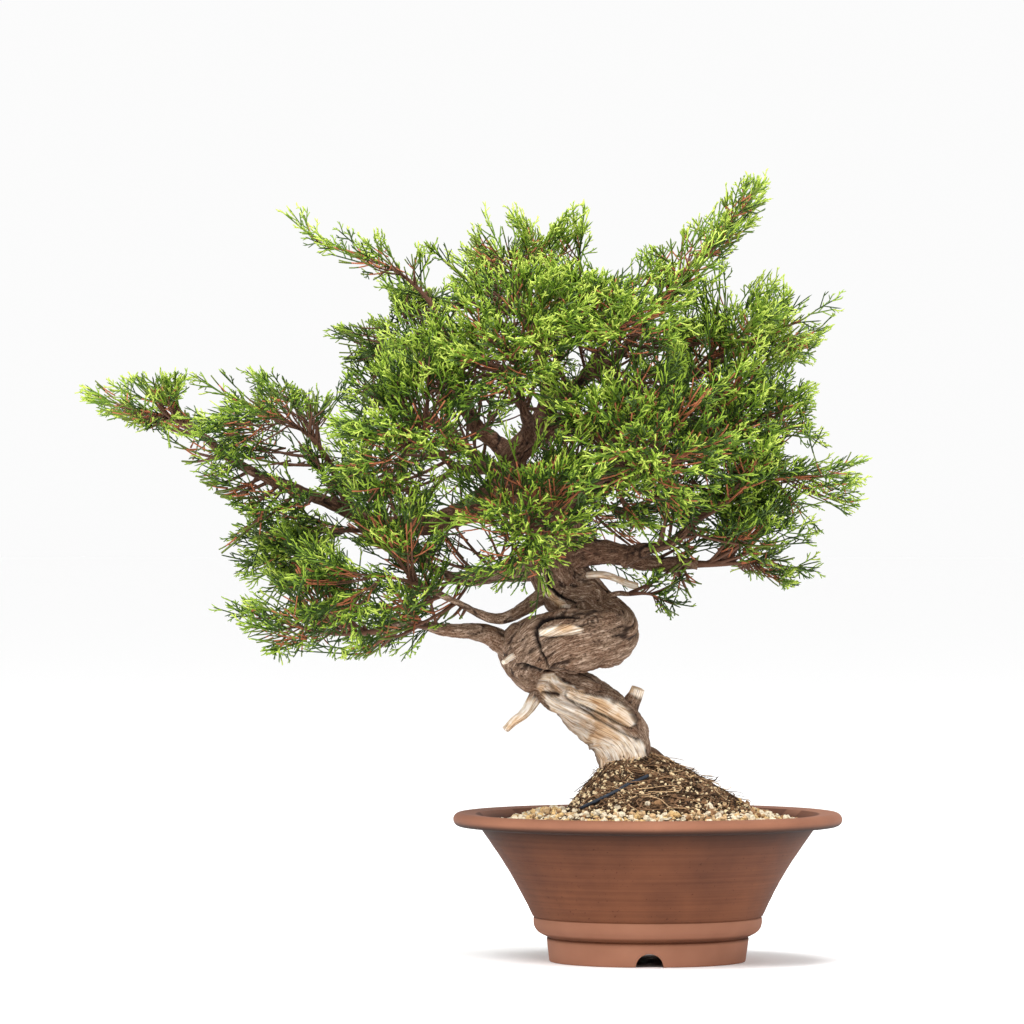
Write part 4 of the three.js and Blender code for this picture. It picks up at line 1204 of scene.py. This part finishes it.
def grow_sprays(mass, twigs):
    """Fans along each twig to alternate sides, the last one in line with it."""
    draw = seeded(mass["seed"] + 2 * FINER_SEED)
    size = mass["row"]["spray"]
    rows = []
    for twig in twigs:
        heading, length, leading = twig["heading"], twig["length"], twig["leading"]
        across = level_across(heading)
        over = np.cross(heading, across)
        first = SPRAY["leading_first" if leading else "first"]
        count = max(round(length * (1 - first) / (SPRAY["step"] * size)), 1)
        for i in range(count + 1):
            end = i == count
            share = lerp(first, 1, (i + SPRAY["jitter"] * draw() * (not end)) / count)
            lean = SPRAY["spread"] * (SPRAY["root_spread"] - SPRAY["closing"] * share) * varied(draw)
            lean *= SPRAY["end_spread"] if end else 1
            whorl = alternate_turn(i, twig, SPRAY["whorl"], draw)
            rib = turned_heading(heading, across, over, whorl, lean, SPRAY["upsweep"] * UPSWEEP)
            sideways = across * math.cos(whorl) + over * math.sin(whorl)
            roll = SPRAY["roll"] * (draw() - 0.5)
            plane = unit(np.cross(np.cross(rib, sideways), rib) + NUDGE)
            wing = plane * math.cos(roll) + np.cross(rib, plane) * math.sin(roll)
            longer = SPRAY["end_length"] if end else SPRAY["longest"] - SPRAY["loss"] * share
            full = SPRAY["length"] * size * varied(draw) * longer
            start = twig["start"] + heading * length * share
            rows.append((start, rib, wing, full, draw(), draw(), end or leading))
    names = ("start", "rib", "wing", "length", "luck", "bow", "last")
    return fitted({name: np.array(column) for name, column in zip(names, zip(*rows))})


def fitted(sprays):
    """Sprays at the largest size that keeps them in the crown and off the limbs, thinned by their place."""
    start, rib = sprays["start"], sprays["rib"]
    luck = {use: sprays["luck"] * factor % 1 for use, factor in LUCK.items()}
    best = np.zeros(len(start))
    for size in SPRAY_SIZES:
        reach = sprays["length"] * size
        tips = start + rib * reach[:, None]
        seen = start + rib * np.maximum(reach - OVERSHOOT * luck["over"], 1)[:, None]
        best = np.where(in_crown(tips) & in_outline(seen), size, best)
    tips = start + rib * (sprays["length"] * best)[:, None]
    edge = lerp(EDGE_SHARE, 1, smoothstep(0, EDGE_ZONE, from_outline(tips)))
    dense = smoothstep(CLUMP["low"], CLUMP["high"], noise(tips, CLUMP["size"], CLUMP["seed"]))
    thick = (edge > luck["edge"]) & (lerp(CLUMP["least"], 1, dense) > luck["clump"]) & ~in_lace(tips)
    opened = in_patches(tips, OPEN) & (start[:, 1] < OPEN_DEPTH)
    kept = (best > 0) & (smoothstep(*BARE_DEPTHS, crown_depth(start)) > luck["depth"])
    kept &= sprays["last"] | thick
    kept &= ~in_patches(tips, SKY) & ~in_patches((tips + start) / 2, SKY)
    kept &= ~opened | (luck["open"] < OPEN_SHARE)
    sprays = {name: value[kept] for name, value in sprays.items()}
    sprays["length"] = sprays["length"] * best[kept]
    return sprays


def shade_of_sprays(sprays):
    """Which plain colour each spray has: darker inside and below, brighter outside and above, as older and
    younger growth and as painted shade and painted light.
    """
    ends = sprays["start"] + sprays["rib"] * sprays["length"][:, None]
    up = (ends - CROWN["centre"])[:, 2] / CROWN["half"][2]
    light = LIGHT["out"] * crown_depth(ends) + LIGHT["up"] * up + LIGHT["luck"] * (sprays["luck"] - 0.5)
    light += LIGHT["clump"] * noise(ends, CLUMP["size"], CLUMP["seed"])
    shade = np.full(len(light), "middle", dtype="U8")
    shade[light < LIGHT["shaded"]] = "shaded"
    shade[light > LIGHT["bright"]] = "bright"
    shade[sprays["luck"] * LUCK["dull"] % 1 < LIGHT["dull"]] = "dull"
    return shade


def fan_shoots(sprays, seed):
    """Scale shoots of every spray: its rib, alternate branchlets and the shoots on them, as columns."""
    random = np.random.default_rng(seed)
    start, rib, wing, length = (sprays[name] for name in ("start", "rib", "wing", "length"))
    spray = np.arange(len(length))

    def dealt(least, span):
        return least + span * random.random(len(length))

    def alternate(i):
        return np.where((i + spray) % 2, 1.0, -1.0)

    over = np.cross(rib, wing)
    bow = (FAN["bow"] * (sprays["bow"] - FAN["straight"]) * length)[:, None] * over
    groups = [shoots(start, rib * length[:, None] + bow, -FAN["back"] * bow, RIB_RADIUS, spray, FAN["out"])]
    counts = np.maximum(np.round(length / BRANCHLET["step"]), FAN["least"])
    widest, closing = BRANCHLET["closing"]
    early, full_from = BRANCHLET["grow"]
    for i in range(int(counts.max())):
        share = BRANCHLET["first"] + BRANCHLET["span"] * (i + dealt(0, BRANCHLET["jitter"])) / counts
        spread = BRANCHLET["spread"] * dealt(*BRANCHLET["spreads"]) * (widest - closing * share)
        full = length * BRANCHLET["length"] * (1 - BRANCHLET["loss"] * share)
        full = full * np.minimum(1, (share + early) / full_from)
        full = full * dealt(*BRANCHLET["lengths"]) + BRANCHLET["least"]
        lift = BRANCHLET["lift"] * (dealt(0, 1) - 0.5)
        root = start + rib * (length * share)[:, None] + bow * (share**2)[:, None]
        swing = (alternate(i) * np.sin(spread))[:, None] * wing
        heading = unit(rib * np.cos(spread)[:, None] + swing + over * lift[:, None])
        reach = heading * full[:, None]
        here = (counts > i) & ~in_lace(root + reach)
        curl = BRANCHLET["curl"] * full[:, None] * (rib - heading)
        groups.append(shoots(root, reach, curl, BRANCHLET_RADIUS, spray, share, here))
        aside = unit(np.cross(over, heading))
        twice = np.clip(np.round(full / SHOOT["step"]), 1, SHOOT["most"])
        for j in range(SHOOT["most"]):
            place = SHOOT["first"] + SHOOT["span"] * (j + dealt(0, SHOOT["jitter"])) / twice
            angle = alternate(i + j) * SHOOT["spread"] * dealt(*SHOOT["spreads"])
            short = full * SHOOT["length"] * (1 - SHOOT["loss"] * place) * dealt(*SHOOT["lengths"])
            short = np.maximum(short, SHOOT["least"])
            tilt = SHOOT["tilt"] * (dealt(0, 1) - 0.5)
            point = root + heading * (full * place)[:, None] + curl * (place**2)[:, None]
            aslant = heading * np.cos(angle)[:, None] + aside * np.sin(angle)[:, None]
            way = unit(aslant + over * tilt[:, None])
            reach = way * short[:, None]
            both = here & (twice > j) & ~in_lace(point + reach)
            bend = SHOOT["curl"] * short[:, None] * (rib - way)
            out = share + SHOOT["out"] * place
            groups.append(shoots(point, reach, bend, SHOOT_RADIUS, spray, out, both))
    return {name: np.concatenate([group[name] for group in groups]) for name in groups[0]}


def shoots(start, reach, curl, radius, spray, out, here=None):
    """Columns of one group of shoots: out tells how near to the spray's tip they stand."""
    count = len(start)
    here = np.ones(count, bool) if here is None else here
    columns = {
        "start": start, "reach": reach, "curl": curl, "spray": spray,
        "out": np.broadcast_to(out, count),
        "root": np.full(count, radius[0]), "tip": np.full(count, radius[1]),
    }
    return {name: value[here] for name, value in columns.items()}


def spikes(columns, stations):
    """Many small tapering shoots at once, each with rings at these shares and a blunt point."""
    heading = unit(columns["reach"])
    least = np.argmin(np.abs(heading), axis=1)
    normal = unit(np.cross(heading, np.eye(3)[least]))
    ring = outward_rings(normal, np.cross(heading, normal), circle(SHOOT_SIDES))
    rows = []
    for share in stations:
        middle = columns["start"] + columns["reach"] * share + columns["curl"] * share**2
        radius = lerp(columns["root"], columns["tip"], share)
        rows.append(middle[:, None] + ring * radius[:, None, None])
    point = (columns["start"] + columns["reach"] + columns["curl"])[:, None]
    points = np.concatenate(rows + [point], axis=1)
    count = len(stations) * SHOOT_SIDES
    side = np.arange(SHOOT_SIDES)
    last = count - SHOOT_SIDES
    ends = np.stack([last + side, last + (side + 1) % SHOOT_SIDES, np.full(SHOOT_SIDES, count)], -1)
    pattern = np.concatenate([ring_triangles(len(stations), SHOOT_SIDES, False), ends])
    starts = np.arange(len(points)) * (count + 1)
    return points.reshape(-1, 3), (pattern[None] + starts[:, None, None]).reshape(-1, 3)


def picked_rows(columns, part):
    return {name: value[part] for name, value in columns.items()}


def leaf_shape(columns):
    """Long shoots with a ring more than short ones, as one shape."""
    long = np.linalg.norm(columns["reach"], axis=1) > LONG_SHOOT
    shapes = []
    for part, stations in ((long, LONG_RINGS), (~long, SHORT_RINGS)):
        if part.any():
            shapes.append(spikes(picked_rows(columns, part), stations))
    return joined(shapes)


def leaf_shapes(mass, twigs):
    """A mass's shoots by colour."""
    sprays = grow_sprays(mass, twigs)
    columns = fan_shoots(sprays, mass["seed"])
    shade = shade_of_sprays(sprays)[columns["spray"]]
    fresh, base = np.vectorize(FRESH.get)(shade), np.vectorize(DEEP.get)(shade)
    # Painted shade at each spray's base
    shade = np.where(columns["out"] < DEEP_TO, base, shade)
    shade = np.where(columns["out"] > FRESH_FROM, fresh, shade)
    parts = {name: shade == name for name in LEAF_COLOURS}
    return {name: leaf_shape(picked_rows(columns, part)) for name, part in parts.items() if part.any()}


def stem_shapes(stem):
    """A mass's stem, sunk into its bough, as its older and its younger part."""
    shares = np.linspace(0, 1, STEM_DRAWN["points"])
    thick = [stem["radius_at"](share) * lerp(1, SLIM, share) for share in shares]
    thick[0] = STEM_DRAWN["swell"] * thick[0]
    line = bezier(stem["root"], stem["bend"], stem["end"], shares)
    line[0] = line[0] - STEM_DRAWN["sunk"] * unit(line[1] - line[0])
    return two_tubes(line, thick, STEM_DRAWN)


def twig_shapes(twig):
    """A thin tapering tube that sags a little and turns up at its end, as its older and its younger part."""
    steps = np.linspace(0, 1, TWIG_DRAWN["points"])[:, None]
    sag = TWIG_DRAWN["sag"] * twig["length"] * 4 * steps * (1 - steps) * -UP
    line = twig["start"] + twig["heading"] * twig["length"] * steps + sag
    thick = np.maximum(twig["thick"] * (1 - TWIG["taper"] * steps[:, 0]), THINNEST)
    return two_tubes(line, thick, TWIG_DRAWN)


def two_tubes(line, thick, drawn):
    old, sides = drawn["old"], drawn["sides"]
    return tube(line[:old + 1], thick[:old + 1], sides), tube(line[old:], thick[old:], sides)


def grow_mass(mass):
    """A mass's shoots by colour and its twigs by age."""
    name, stem = mass["row"]["name"], mass["stem"]
    lead = stem["tip"] - stem["end"]
    slim = SLIM * stem["radius_at"](1)
    twigs = [twig_row(stem["end"], unit(lead), LEADER * np.linalg.norm(lead), slim, leading=True)]
    twigs += grow_twigs(mass)
    leafy = []
    for start, end in zip(stem["points"][2:-1], stem["points"][3:]):
        leafy.append(twig_row(start, unit(end - start), np.linalg.norm(end - start), slim, leading=True))
    if name in BOUGH_NAMES:
        twigs += grow_bough_twigs(name, limbs[name], mass["seed"] + 3 * FINER_SEED)
    twiglets = []
    if mass["row"]["spray"] == 1:
        twiglets = grow_twiglets(leafy + twigs, mass["seed"] + 4 * FINER_SEED)
    inner, outer = stem_shapes(stem)
    ages = {"old": [inner], "young": [outer], "green": []}
    grown = twigs + twiglets
    starts = np.array([twig["start"] for twig in grown])
    ends = np.array([twig["start"] + twig["heading"] * twig["length"] for twig in grown])
    near = from_outline(ends) < EDGE_ZONE
    deep = crown_depth(starts) < BARE_DEPTHS[1]
    for i, twig in enumerate(grown):
        inner, outer = twig_shapes(twig)
        ages["old" if deep[i] or i < len(twigs) else "young"].append(inner)
        ages["green" if near[i] else "old" if deep[i] else "young"].append(outer)
    tubes = {age: joined(shapes) for age, shapes in ages.items() if shapes}
    return leaf_shapes(mass, leafy + twigs + twiglets), tubes


def chunks(shapes):
    """Groups of named shapes that stay under the largest number of triangles in one piece."""
    group, count = [], 0
    for name, shape in shapes:
        if group and count + len(shape[1]) > PIECE_TRIANGLES:
            yield group
            group, count = [], 0
        group.append((name, shape))
        count += len(shape[1])
    yield group


def add_foliage():
    """Leaves and twigs of all masses, joined by colour."""
    leaves = {name: [] for name in LEAF_COLOURS}
    twigs = {name: [] for name in TWIG_COLOURS}
    for mass in masses:
        node = "foliage_" + mass["row"]["name"]
        for groups, shapes in zip((leaves, twigs), grow_mass(mass)):
            for name, shape in shapes.items():
                groups[name].append((node, shape))
    leaf_paints = {name: plain_material("leaf_" + name, LEAF_COLOURS[name], 0.55, 0.25) for name in leaves}
    twig_paints = {name: plain_material("twig_" + name, TWIG_COLOURS[name], 0.8) for name in twigs}
    for kind, slot, groups, paints in (
        ("leaves", "foliage", leaves, leaf_paints),
        ("twigs", "bark", twigs, twig_paints),
    ):
        for name, shapes in groups.items():
            for i, group in enumerate(chunks(shapes)):
                points, triangles = joined([shape for _, shape in group])
                nodes = [node for node, _ in group]
                add_piece(f"{kind}_{name}_{i + 1}", points, triangles, paints[name], slot, nodes)


# Pot
def rounded(corners):
    """A line through corners given as radius, height and how far each is cut back to round it."""
    points = []
    for i, (radius, height, cut) in enumerate(corners):
        corner = np.array([radius, height], float)
        if cut == 0 or i in (0, len(corners) - 1):
            points.append(corner)
            continue
        sides = [np.array(corners[i + step][:2], float) - corner for step in (-1, 1)]
        before, after = (corner + side / np.linalg.norm(side) * cut for side in sides)
        points.extend(bezier(before, corner, after, np.linspace(0, 1, CORNER_STEPS)))
    return np.array(points)


def evenly(points, spacing):
    """The same line with points no further apart than this."""
    line = [points[:1]]
    for start, end in zip(points[:-1], points[1:]):
        steps = max(math.ceil(np.linalg.norm(end - start) / spacing), 1)
        line.append(lerp(start, end, np.linspace(0, 1, steps + 1)[1:, None]))
    return np.concatenate(line)


def pot_profile():
    """The turned line from the drain hole round the outside and back down the inside."""
    wall_top = RIM_HEIGHT - LIP_THICKNESS - NECK_DROP

    def wall(share, inward):
        radius = lerp(WAIST_RADIUS, NECK_RADIUS, share) - FLARE * math.sin(math.pi * share)
        return radius - inward, lerp(WAIST_HEIGHT, wall_top, share), 0

    shares = np.linspace(0, 1, WALL_STEPS)
    roll = LIP_THICKNESS / 2
    lip = []
    for angle in np.radians(np.linspace(-90, 90, LIP_STEPS)):
        out, up = roll * math.cos(angle), roll * math.sin(angle)
        lip.append((RIM_RADIUS - roll + out, RIM_HEIGHT - roll + up, 0))
    foot_inside = FOOT_RADIUS - FOOT_WIDTH
    foot_top = FOOT_RADIUS + FOOT_SPLAY
    lip_inside = (LIP_INNER_RADIUS, RIM_HEIGHT - LIP_FALL, 0)
    outside = [
        (DRAIN_RADIUS, FLOOR_LOW, 0),
        (foot_inside, FLOOR_LOW, 1.5),
        (foot_inside, 0, 0.8),
        (FOOT_RADIUS, 0, 0.8),
        (foot_top, FOOT_HEIGHT, 0.4),
        (foot_top - GROOVE, FOOT_HEIGHT + 0.5, 0.2),
        (BAND_RADIUS - BAND_ROUND, BAND_LOW, 2.2),
        (BAND_RADIUS, BAND_LOW + 2 * BAND_ROUND, 1.6),
        (BAND_RADIUS, WAIST_HEIGHT - 1.1, 0.4),
        (WAIST_RADIUS - GROOVE, WAIST_HEIGHT - 0.5, 0.15),
        *[wall(share, 0) for share in shares],
        *lip,
        lip_inside,
    ]
    inside = [
        lip_inside,
        *[wall(1 - share, WALL) for share in shares],
        (WAIST_RADIUS - WALL - FLOOR_ROUND, FLOOR_TOP, 2),
        (DRAIN_RADIUS, FLOOR_TOP, 0),
        (DRAIN_RADIUS, FLOOR_LOW, 0),
    ]
    hidden = evenly(rounded(inside), INSIDE_SPACING)[1:-1]
    return np.concatenate([evenly(rounded(outside), POT_SPACING), hidden])


def pot_angles():
    """Even steps round the pot, finer at its front and back notches."""
    reach = math.degrees(math.asin((NOTCH_RADIUS + NOTCH_MARGIN) / FOOT_RADIUS))
    even = np.linspace(0, 360, POT_SIDES, endpoint=False)
    even = even[np.abs(np.abs(even - 180) - 90) > reach]
    fine = np.arange(-reach, reach, NOTCH_STEP)
    return np.radians(np.sort(np.concatenate([even, 90 + fine, 270 + fine])))


def add_pot(material):
    """The turned pot with its wheel marks and the two arched notches in its foot."""
    profile = pot_profile()
    angles = pot_angles()
    radius, height = (column[:, None] + 0 * angles[None] for column in profile.T)
    turning = np.stack([np.cos(angles)[None] + 0 * height, np.sin(angles)[None] + 0 * height, height], -1)
    uneven = {}
    for name, (stretch, size, seed) in POT_NOISE.items():
        uneven[name] = noise(turning * np.array(stretch, float), size, seed)
    marks = uneven["marks"] + BROAD_MARKS * uneven["broad"]
    wall = smoothstep(WAIST_HEIGHT, WAIST_HEIGHT + 3, height)
    radius = radius + WHEEL_MARKS * marks * (0.5 + 0.5 * wall) + DENTS * uneven["dents"]
    x, y = radius * np.cos(angles), radius * np.sin(angles)
    arch = np.sqrt(np.maximum(NOTCH_RADIUS**2 - x**2, 0))
    low = (profile[:, 0] > FOOT_RADIUS - FOOT_WIDTH - NOTCH_ZONE["inside"])[:, None]
    low = low & (height < NOTCH_RADIUS + NOTCH_ZONE["above"])
    height = np.where(low, np.maximum(height, arch), height)
    under = RIM_HEIGHT - LIP_THICKNESS
    # Paler clay on the lip, band and foot: partly wear, partly painted highlight on the lip and painted
    # light on the band and foot
    rim = smoothstep(under + RIM_FADE[0], under + RIM_FADE[1], height) * (radius > LIP_INNER_RADIUS)
    band = smoothstep(FOOT_HEIGHT + 1.5, BAND_LOW, height)
    band = band * (1 - smoothstep(WAIST_HEIGHT + BAND_FADE[0], WAIST_HEIGHT + BAND_FADE[1], height))
    foot = 1 - smoothstep(FOOT_HEIGHT - 1, FOOT_HEIGHT, height)
    blotch = 0.5 + 0.5 * uneven["blotch"]
    worn_and_lit = np.clip(WORN_AND_LIT["rim"] * rim + WORN_AND_LIT["band"] * band + foot, 0, 1)
    worn_and_lit = worn_and_lit * (1 - WORN_AND_LIT["blotch"] + WORN_AND_LIT["blotch"] * blotch)
    # Painted shadow on the wall under the lip and on the lip's lower part
    painted_lip_shadow = np.where(height < under, np.exp((height - under) / PAINTED_SHADOW_DEPTH), 1) * wall
    painted_lip_shadow = painted_lip_shadow * (1 - smoothstep(under + PAINTED_SHADOW_FADE[0], under + PAINTED_SHADOW_FADE[1], height))
    points = np.stack([x, y, height], -1).reshape(-1, 3)
    triangles = ring_triangles(len(profile), len(angles), True)
    values = {"worn_and_lit": worn_and_lit.ravel(), "painted_lip_shadow": painted_lip_shadow.ravel()}
    add_piece("pot_body", points, triangles, material, "stoneware", ["pot"], values)


# Soil
def bed_height(radius):
    share = np.clip((radius - BED_FLAT_RADIUS) / (BED_EDGE_RADIUS - BED_FLAT_RADIUS), 0, BED_PAST)
    return lerp(BED_TOP, BED_EDGE_HEIGHT, share)


def heap_point(angle, share, raised=0.0):
    """A point on the heap of old roots: share runs from its crest to its foot."""
    along = np.where(np.cos(angle) > 0, HEAP["right"], HEAP["left"])
    height = (HEAP["top"] - BED_TOP - GAP) * (1 - share ** HEAP["fullness"])
    x = HEAP["x"] + (along + raised) * share * np.cos(angle)
    y = (HEAP["depth"] + raised) * share * np.sin(angle)
    return np.stack(np.broadcast_arrays(x, y, BED_TOP + GAP + height + raised), -1)


def heap_share(spot):
    along = HEAP["right"] if spot[0] > HEAP["x"] else HEAP["left"]
    return math.hypot((spot[0] - HEAP["x"]) / along, spot[1] / HEAP["depth"])


def stone_shapes(count, seed):
    """A few angular stones about one unit wide, each with twenty faces."""
    random = np.random.default_rng(seed)
    ratio = (1 + math.sqrt(5)) / 2
    corners = []
    for a in (-1, 1):
        for b in (-ratio, ratio):
            corners += [(0, a, b), (a, b, 0), (b, 0, a)]
    corners = unit(np.array(corners, float))
    apart = np.linalg.norm(corners[:, None] - corners[None], axis=-1)
    near = apart < np.min(apart[apart > 0]) * 1.05
    faces = []
    for i, j, k in np.argwhere(near[:, :, None] & near[None] & near[:, None]):
        if i < j < k:
            out = np.dot(np.cross(corners[j] - corners[i], corners[k] - corners[i]), corners[i])
            faces.append((i, j, k) if out > 0 else (i, k, j))
    stones = []
    for _ in range(count):
        bumps = noise(corners + 9 * random.random(3), STONE["bump_size"], STONE["seed"])
        bumpy = corners * (1 + STONE["bump"] * bumps[:, None])
        stones.append(bumpy * (STONE["least"] + STONE["range"] * random.random(3)))
    return stones, np.array(faces)


def random_stone(stones, size, random):
    """One of the stones at this size, turned to a random attitude."""
    stone = stones[random.integers(len(stones))]
    axes, _ = np.linalg.qr(random.normal(size=(3, 3)))
    return stone @ (axes * np.sign(np.linalg.det(axes))).T * size


def random_kind(kinds, random):
    """The name of one of the kinds, by their shares."""
    return list(kinds)[random.choice(len(kinds), p=[share for _, share in kinds.values()])]


def grain_places(random):
    """Where the grains lie: a jittered grid over the bed, and loose ones on top and on the heap."""
    places = []
    reach = BED_EDGE_RADIUS + GRAIN["past_edge"]
    steps = np.arange(-reach, reach, GRAIN["spacing"])
    for row, y in enumerate(steps):
        for x in steps + (row % 2) * GRAIN["spacing"] / 2:
            spot = np.array([x, y]) + (random.random(2) - 0.5) * GRAIN["jitter"] * GRAIN["spacing"]
            if np.hypot(*spot) < reach - GRAIN["edge"] and heap_share(spot) > GRAIN["heap"]:
                places.append((*spot, bed_height(np.hypot(*spot)) - GRAIN["sunk"]))
    for _ in range(LOOSE["count"]):
        angle, out = random.random() * FULL_TURN, math.sqrt(lerp(LOOSE["inner"], 1, random.random()))
        spot = np.array([math.cos(angle), math.sin(angle)]) * out * (reach - LOOSE["edge"])
        share = heap_share(spot)
        if share > 1.0:
            places.append((*spot, bed_height(np.hypot(*spot)) + LOOSE["raised"]))
        elif random.random() < LOOSE["on_heap"] and share > LOOSE["heap"]:
            turn = math.atan2(spot[1] / HEAP["depth"], (spot[0] - HEAP["x"]) / HEAP["right"])
            places.append(tuple(heap_point(turn, share, LOOSE["off"])))
    return np.array(places)


def add_grit(base):
    """Loose grains in several colours over a plain dark bed, which stands for the shade between them."""
    random = np.random.default_rng(GRAIN["seed"])
    stones, triangles = stone_shapes(*GRAIN["stones"])
    shapes = {name: [] for name in GRAIN_KINDS}
    for place in grain_places(random):
        size = lerp(*GRAIN["sizes"], random.random() ** GRAIN["small"])
        stone = random_stone(stones, size, random)
        shapes[random_kind(GRAIN_KINDS, random)].append((stone + place, triangles))
    add_kinds("grains", shapes, speckled_kinds("grain", GRAIN_KINDS), "grit", flat=True)
    low, edge, top = FLOOR_TOP + 3, BED_EDGE_HEIGHT - BASE_DROP, BED_TOP - BASE_DROP
    profile = [
        (0.5, low), (40, low), (52, WAIST_HEIGHT + 6), (BED_EDGE_RADIUS - 4, edge - 4),
        (BED_EDGE_RADIUS - 1.5, edge), (BED_FLAT_RADIUS, top), (30, top), (0.5, top),
    ]
    angles = circle(BED_SIDES)
    ring = np.stack([np.cos(angles), np.sin(angles)], -1)
    rows = [np.concatenate([ring * r, np.full((BED_SIDES, 1), z)], 1) for r, z in profile]
    points, triangles = capped(np.concatenate(rows), len(rows), BED_SIDES)
    # The bed's dark material is painted shade in the gaps between the grains
    add_piece("grit_base", points, triangles, base, "grit", ["grit_bed"])


def add_heap(soil):
    """The root ball: crumbly soil under a felt of root fibres."""
    shares = np.linspace(*HEAP_SHARES, HEAP_RINGS)
    points = heap_point(circle(HEAP_SIDES)[None], shares[:, None])
    rough = sum(height * noise(points, size, seed) for height, size, seed in HEAP_LUMPS)
    points[..., 2] += rough - HEAP_DROP
    points, triangles = capped(points.reshape(-1, 3), HEAP_RINGS, HEAP_SIDES)
    add_piece("root_ball", points, triangles, soil, "root_soil", ["root_heap"])
    random = np.random.default_rng(FIBRE["seed"])
    shapes = {name: [] for name in FIBRE_KINDS}
    for _ in range(FIBRE["count"]):
        fibre = fibre_shape(random)
        shapes[random_kind(FIBRE_KINDS, random)].append(fibre)
    add_kinds("root_fibres", shapes, speckled_kinds("fibre", FIBRE_KINDS), "root_soil")


def fibre_shape(random):
    """A thin root that wanders down the heap; some stand off it."""
    steps = np.linspace(0, 1, FIBRE["points"])
    angle = random.random() * FULL_TURN
    first = lerp(*FIBRE["first"], random.random() ** 0.8)
    drift = random.normal() * FIBRE["drift"]
    wave = random.random(4) * FULL_TURN

    def waved(name, start):
        height, pace = FIBRE[name]
        return height * np.sin(pace * steps + start)

    turn = angle + drift * steps + waved("turn_wave", wave[0])
    share = first + lerp(*FIBRE["run"], random.random()) * steps + waved("run_wave", wave[1])
    raised = FIBRE["raised"] + np.abs(waved("raised_wave", wave[2])) * random.random()
    if random.random() < FIBRE["stray"]:
        raised = raised + lerp(*FIBRE["strays"], random.random()) * steps**1.5
    thick = lerp(*FIBRE["thick"], random.random() ** 2)
    line = heap_point(turn, np.clip(share, *FIBRE["shares"]), 0) + raised[:, None] * UP
    return tube(line, thick * (1 - FIBRE["taper"] * steps), FIBRE["sides"])


def add_crumbs():
    """Crumbs of soil over the heap."""
    random = np.random.default_rng(CRUMB["seed"])
    stones, triangles = stone_shapes(*CRUMB["stones"])
    shapes = {name: [] for name in CRUMB_KINDS}
    for _ in range(CRUMB["count"]):
        angle, share = random.random() * FULL_TURN, math.sqrt(lerp(*CRUMB["shares"], random.random()))
        size = lerp(*CRUMB["sizes"], random.random() ** CRUMB["small"])
        place = heap_point(angle, share) + UP * CRUMB["raised"] * size
        stone = random_stone(stones, size, random)
        shapes[random_kind(CRUMB_KINDS, random)].append((stone + place, triangles))
    add_kinds("crumbs", shapes, speckled_kinds("crumb", CRUMB_KINDS), "root_soil", flat=True)


def add_wire(material):
    turn = np.linspace(0, WIRE["points"] - 1, WIRE_RINGS)
    angle = np.radians(WIRE["first_angle"] + WIRE["turn"] * turn)
    line = heap_point(angle, WIRE["first_share"] - WIRE["rise"] * turn, WIRE["radius"] + GAP)
    points, triangles = tube(line, np.full(len(line), WIRE["radius"]), WIRE_SIDES)
    add_piece("wire_tie", points, triangles, material, "wire", ["tie_wire"])


# Floor, light and camera
def add_stage():
    bpy.ops.mesh.primitive_circle_add(vertices=128, radius=30, fill_type="NGON", location=(0, 0, 0))
    floor = bpy.context.object
    floor.name = "floor"
    floor.data.materials.append(plain_material("floor_pale", WHITE, 0.9, 0.1))
    world = bpy.data.worlds.new("studio")
    bpy.context.scene.world = world
    world.use_nodes = True
    sky = world.node_tree.nodes["Background"]
    sky.inputs["Color"].default_value = (1, 1, 1, 1)
    sky.inputs["Strength"].default_value = SKY_LIGHT
    for name, (place, size, power) in LAMPS.items():
        data = bpy.data.lights.new(name, "AREA")
        data.size = size
        data.energy = power
        lamp = linked(name, data)
        lamp.location = place
        aim = LAMP_AIM - np.array(place)
        tilt = math.atan2(math.hypot(aim[0], aim[1]), -aim[2])
        lamp.rotation_euler = (tilt, 0, math.atan2(-aim[0], aim[1]))


def add_camera():
    """Level, and far off in front of the plant."""
    data = bpy.data.cameras.new("camera")
    data.lens = LENS
    data.sensor_width = 36
    data.clip_end = 100
    camera = linked("camera", data)
    camera.location = np.array([EYE[0], -VIEW_DISTANCE, EYE[1]]) * METRES + POT_AXIS
    camera.rotation_euler = (math.pi / 2, 0, 0)
    bpy.context.scene.camera = camera


# The whole plant
limbs = grow_limbs()
LIMB_STARTS = np.concatenate([limb["points"][:-1] for limb in limbs.values()])
LIMB_ENDS = np.concatenate([limb["points"][1:] for limb in limbs.values()])
widest_ends = [np.maximum(limb["radii"][:-1], limb["radii"][1:]) for limb in limbs.values()]
LIMB_REACH = np.concatenate(widest_ends) * (1 + LOBES["depth"]) + LEAF_CLEARANCE
BOUGH_NAMES = [row["name"] for row in BOUGHS]

masses = []
for index, mass_data in enumerate(MASSES):
    mass_limb = limbs["trunk" if mass_data["name"] == "apex" else mass_data["name"]]
    mass_stem = stem_of(mass_data, mass_limb)
    masses.append({
        "row": mass_data, "index": index, "seed": MASS_SEED + index,
        "stem": mass_stem, "space": space_of(mass_data, mass_stem),
    })
MASS_ROOTS = np.array([mass["stem"]["root"] for mass in masses])
MASS_TIPS = np.array([mass["stem"]["tip"] for mass in masses])

add_pot(stoneware_material("stoneware"))
add_grit(soil_material("grit_shade"))
add_heap(soil_material("root_soil"))
add_crumbs()
add_wire(speckled_material("wire", WIRE_COLOUR, SPECKS["wire"], 0.5))
add_limbs(bark_material("bark"))
add_foliage()
add_stage()
add_camera()
bpy.context.scene.view_settings.view_transform = "Standard"
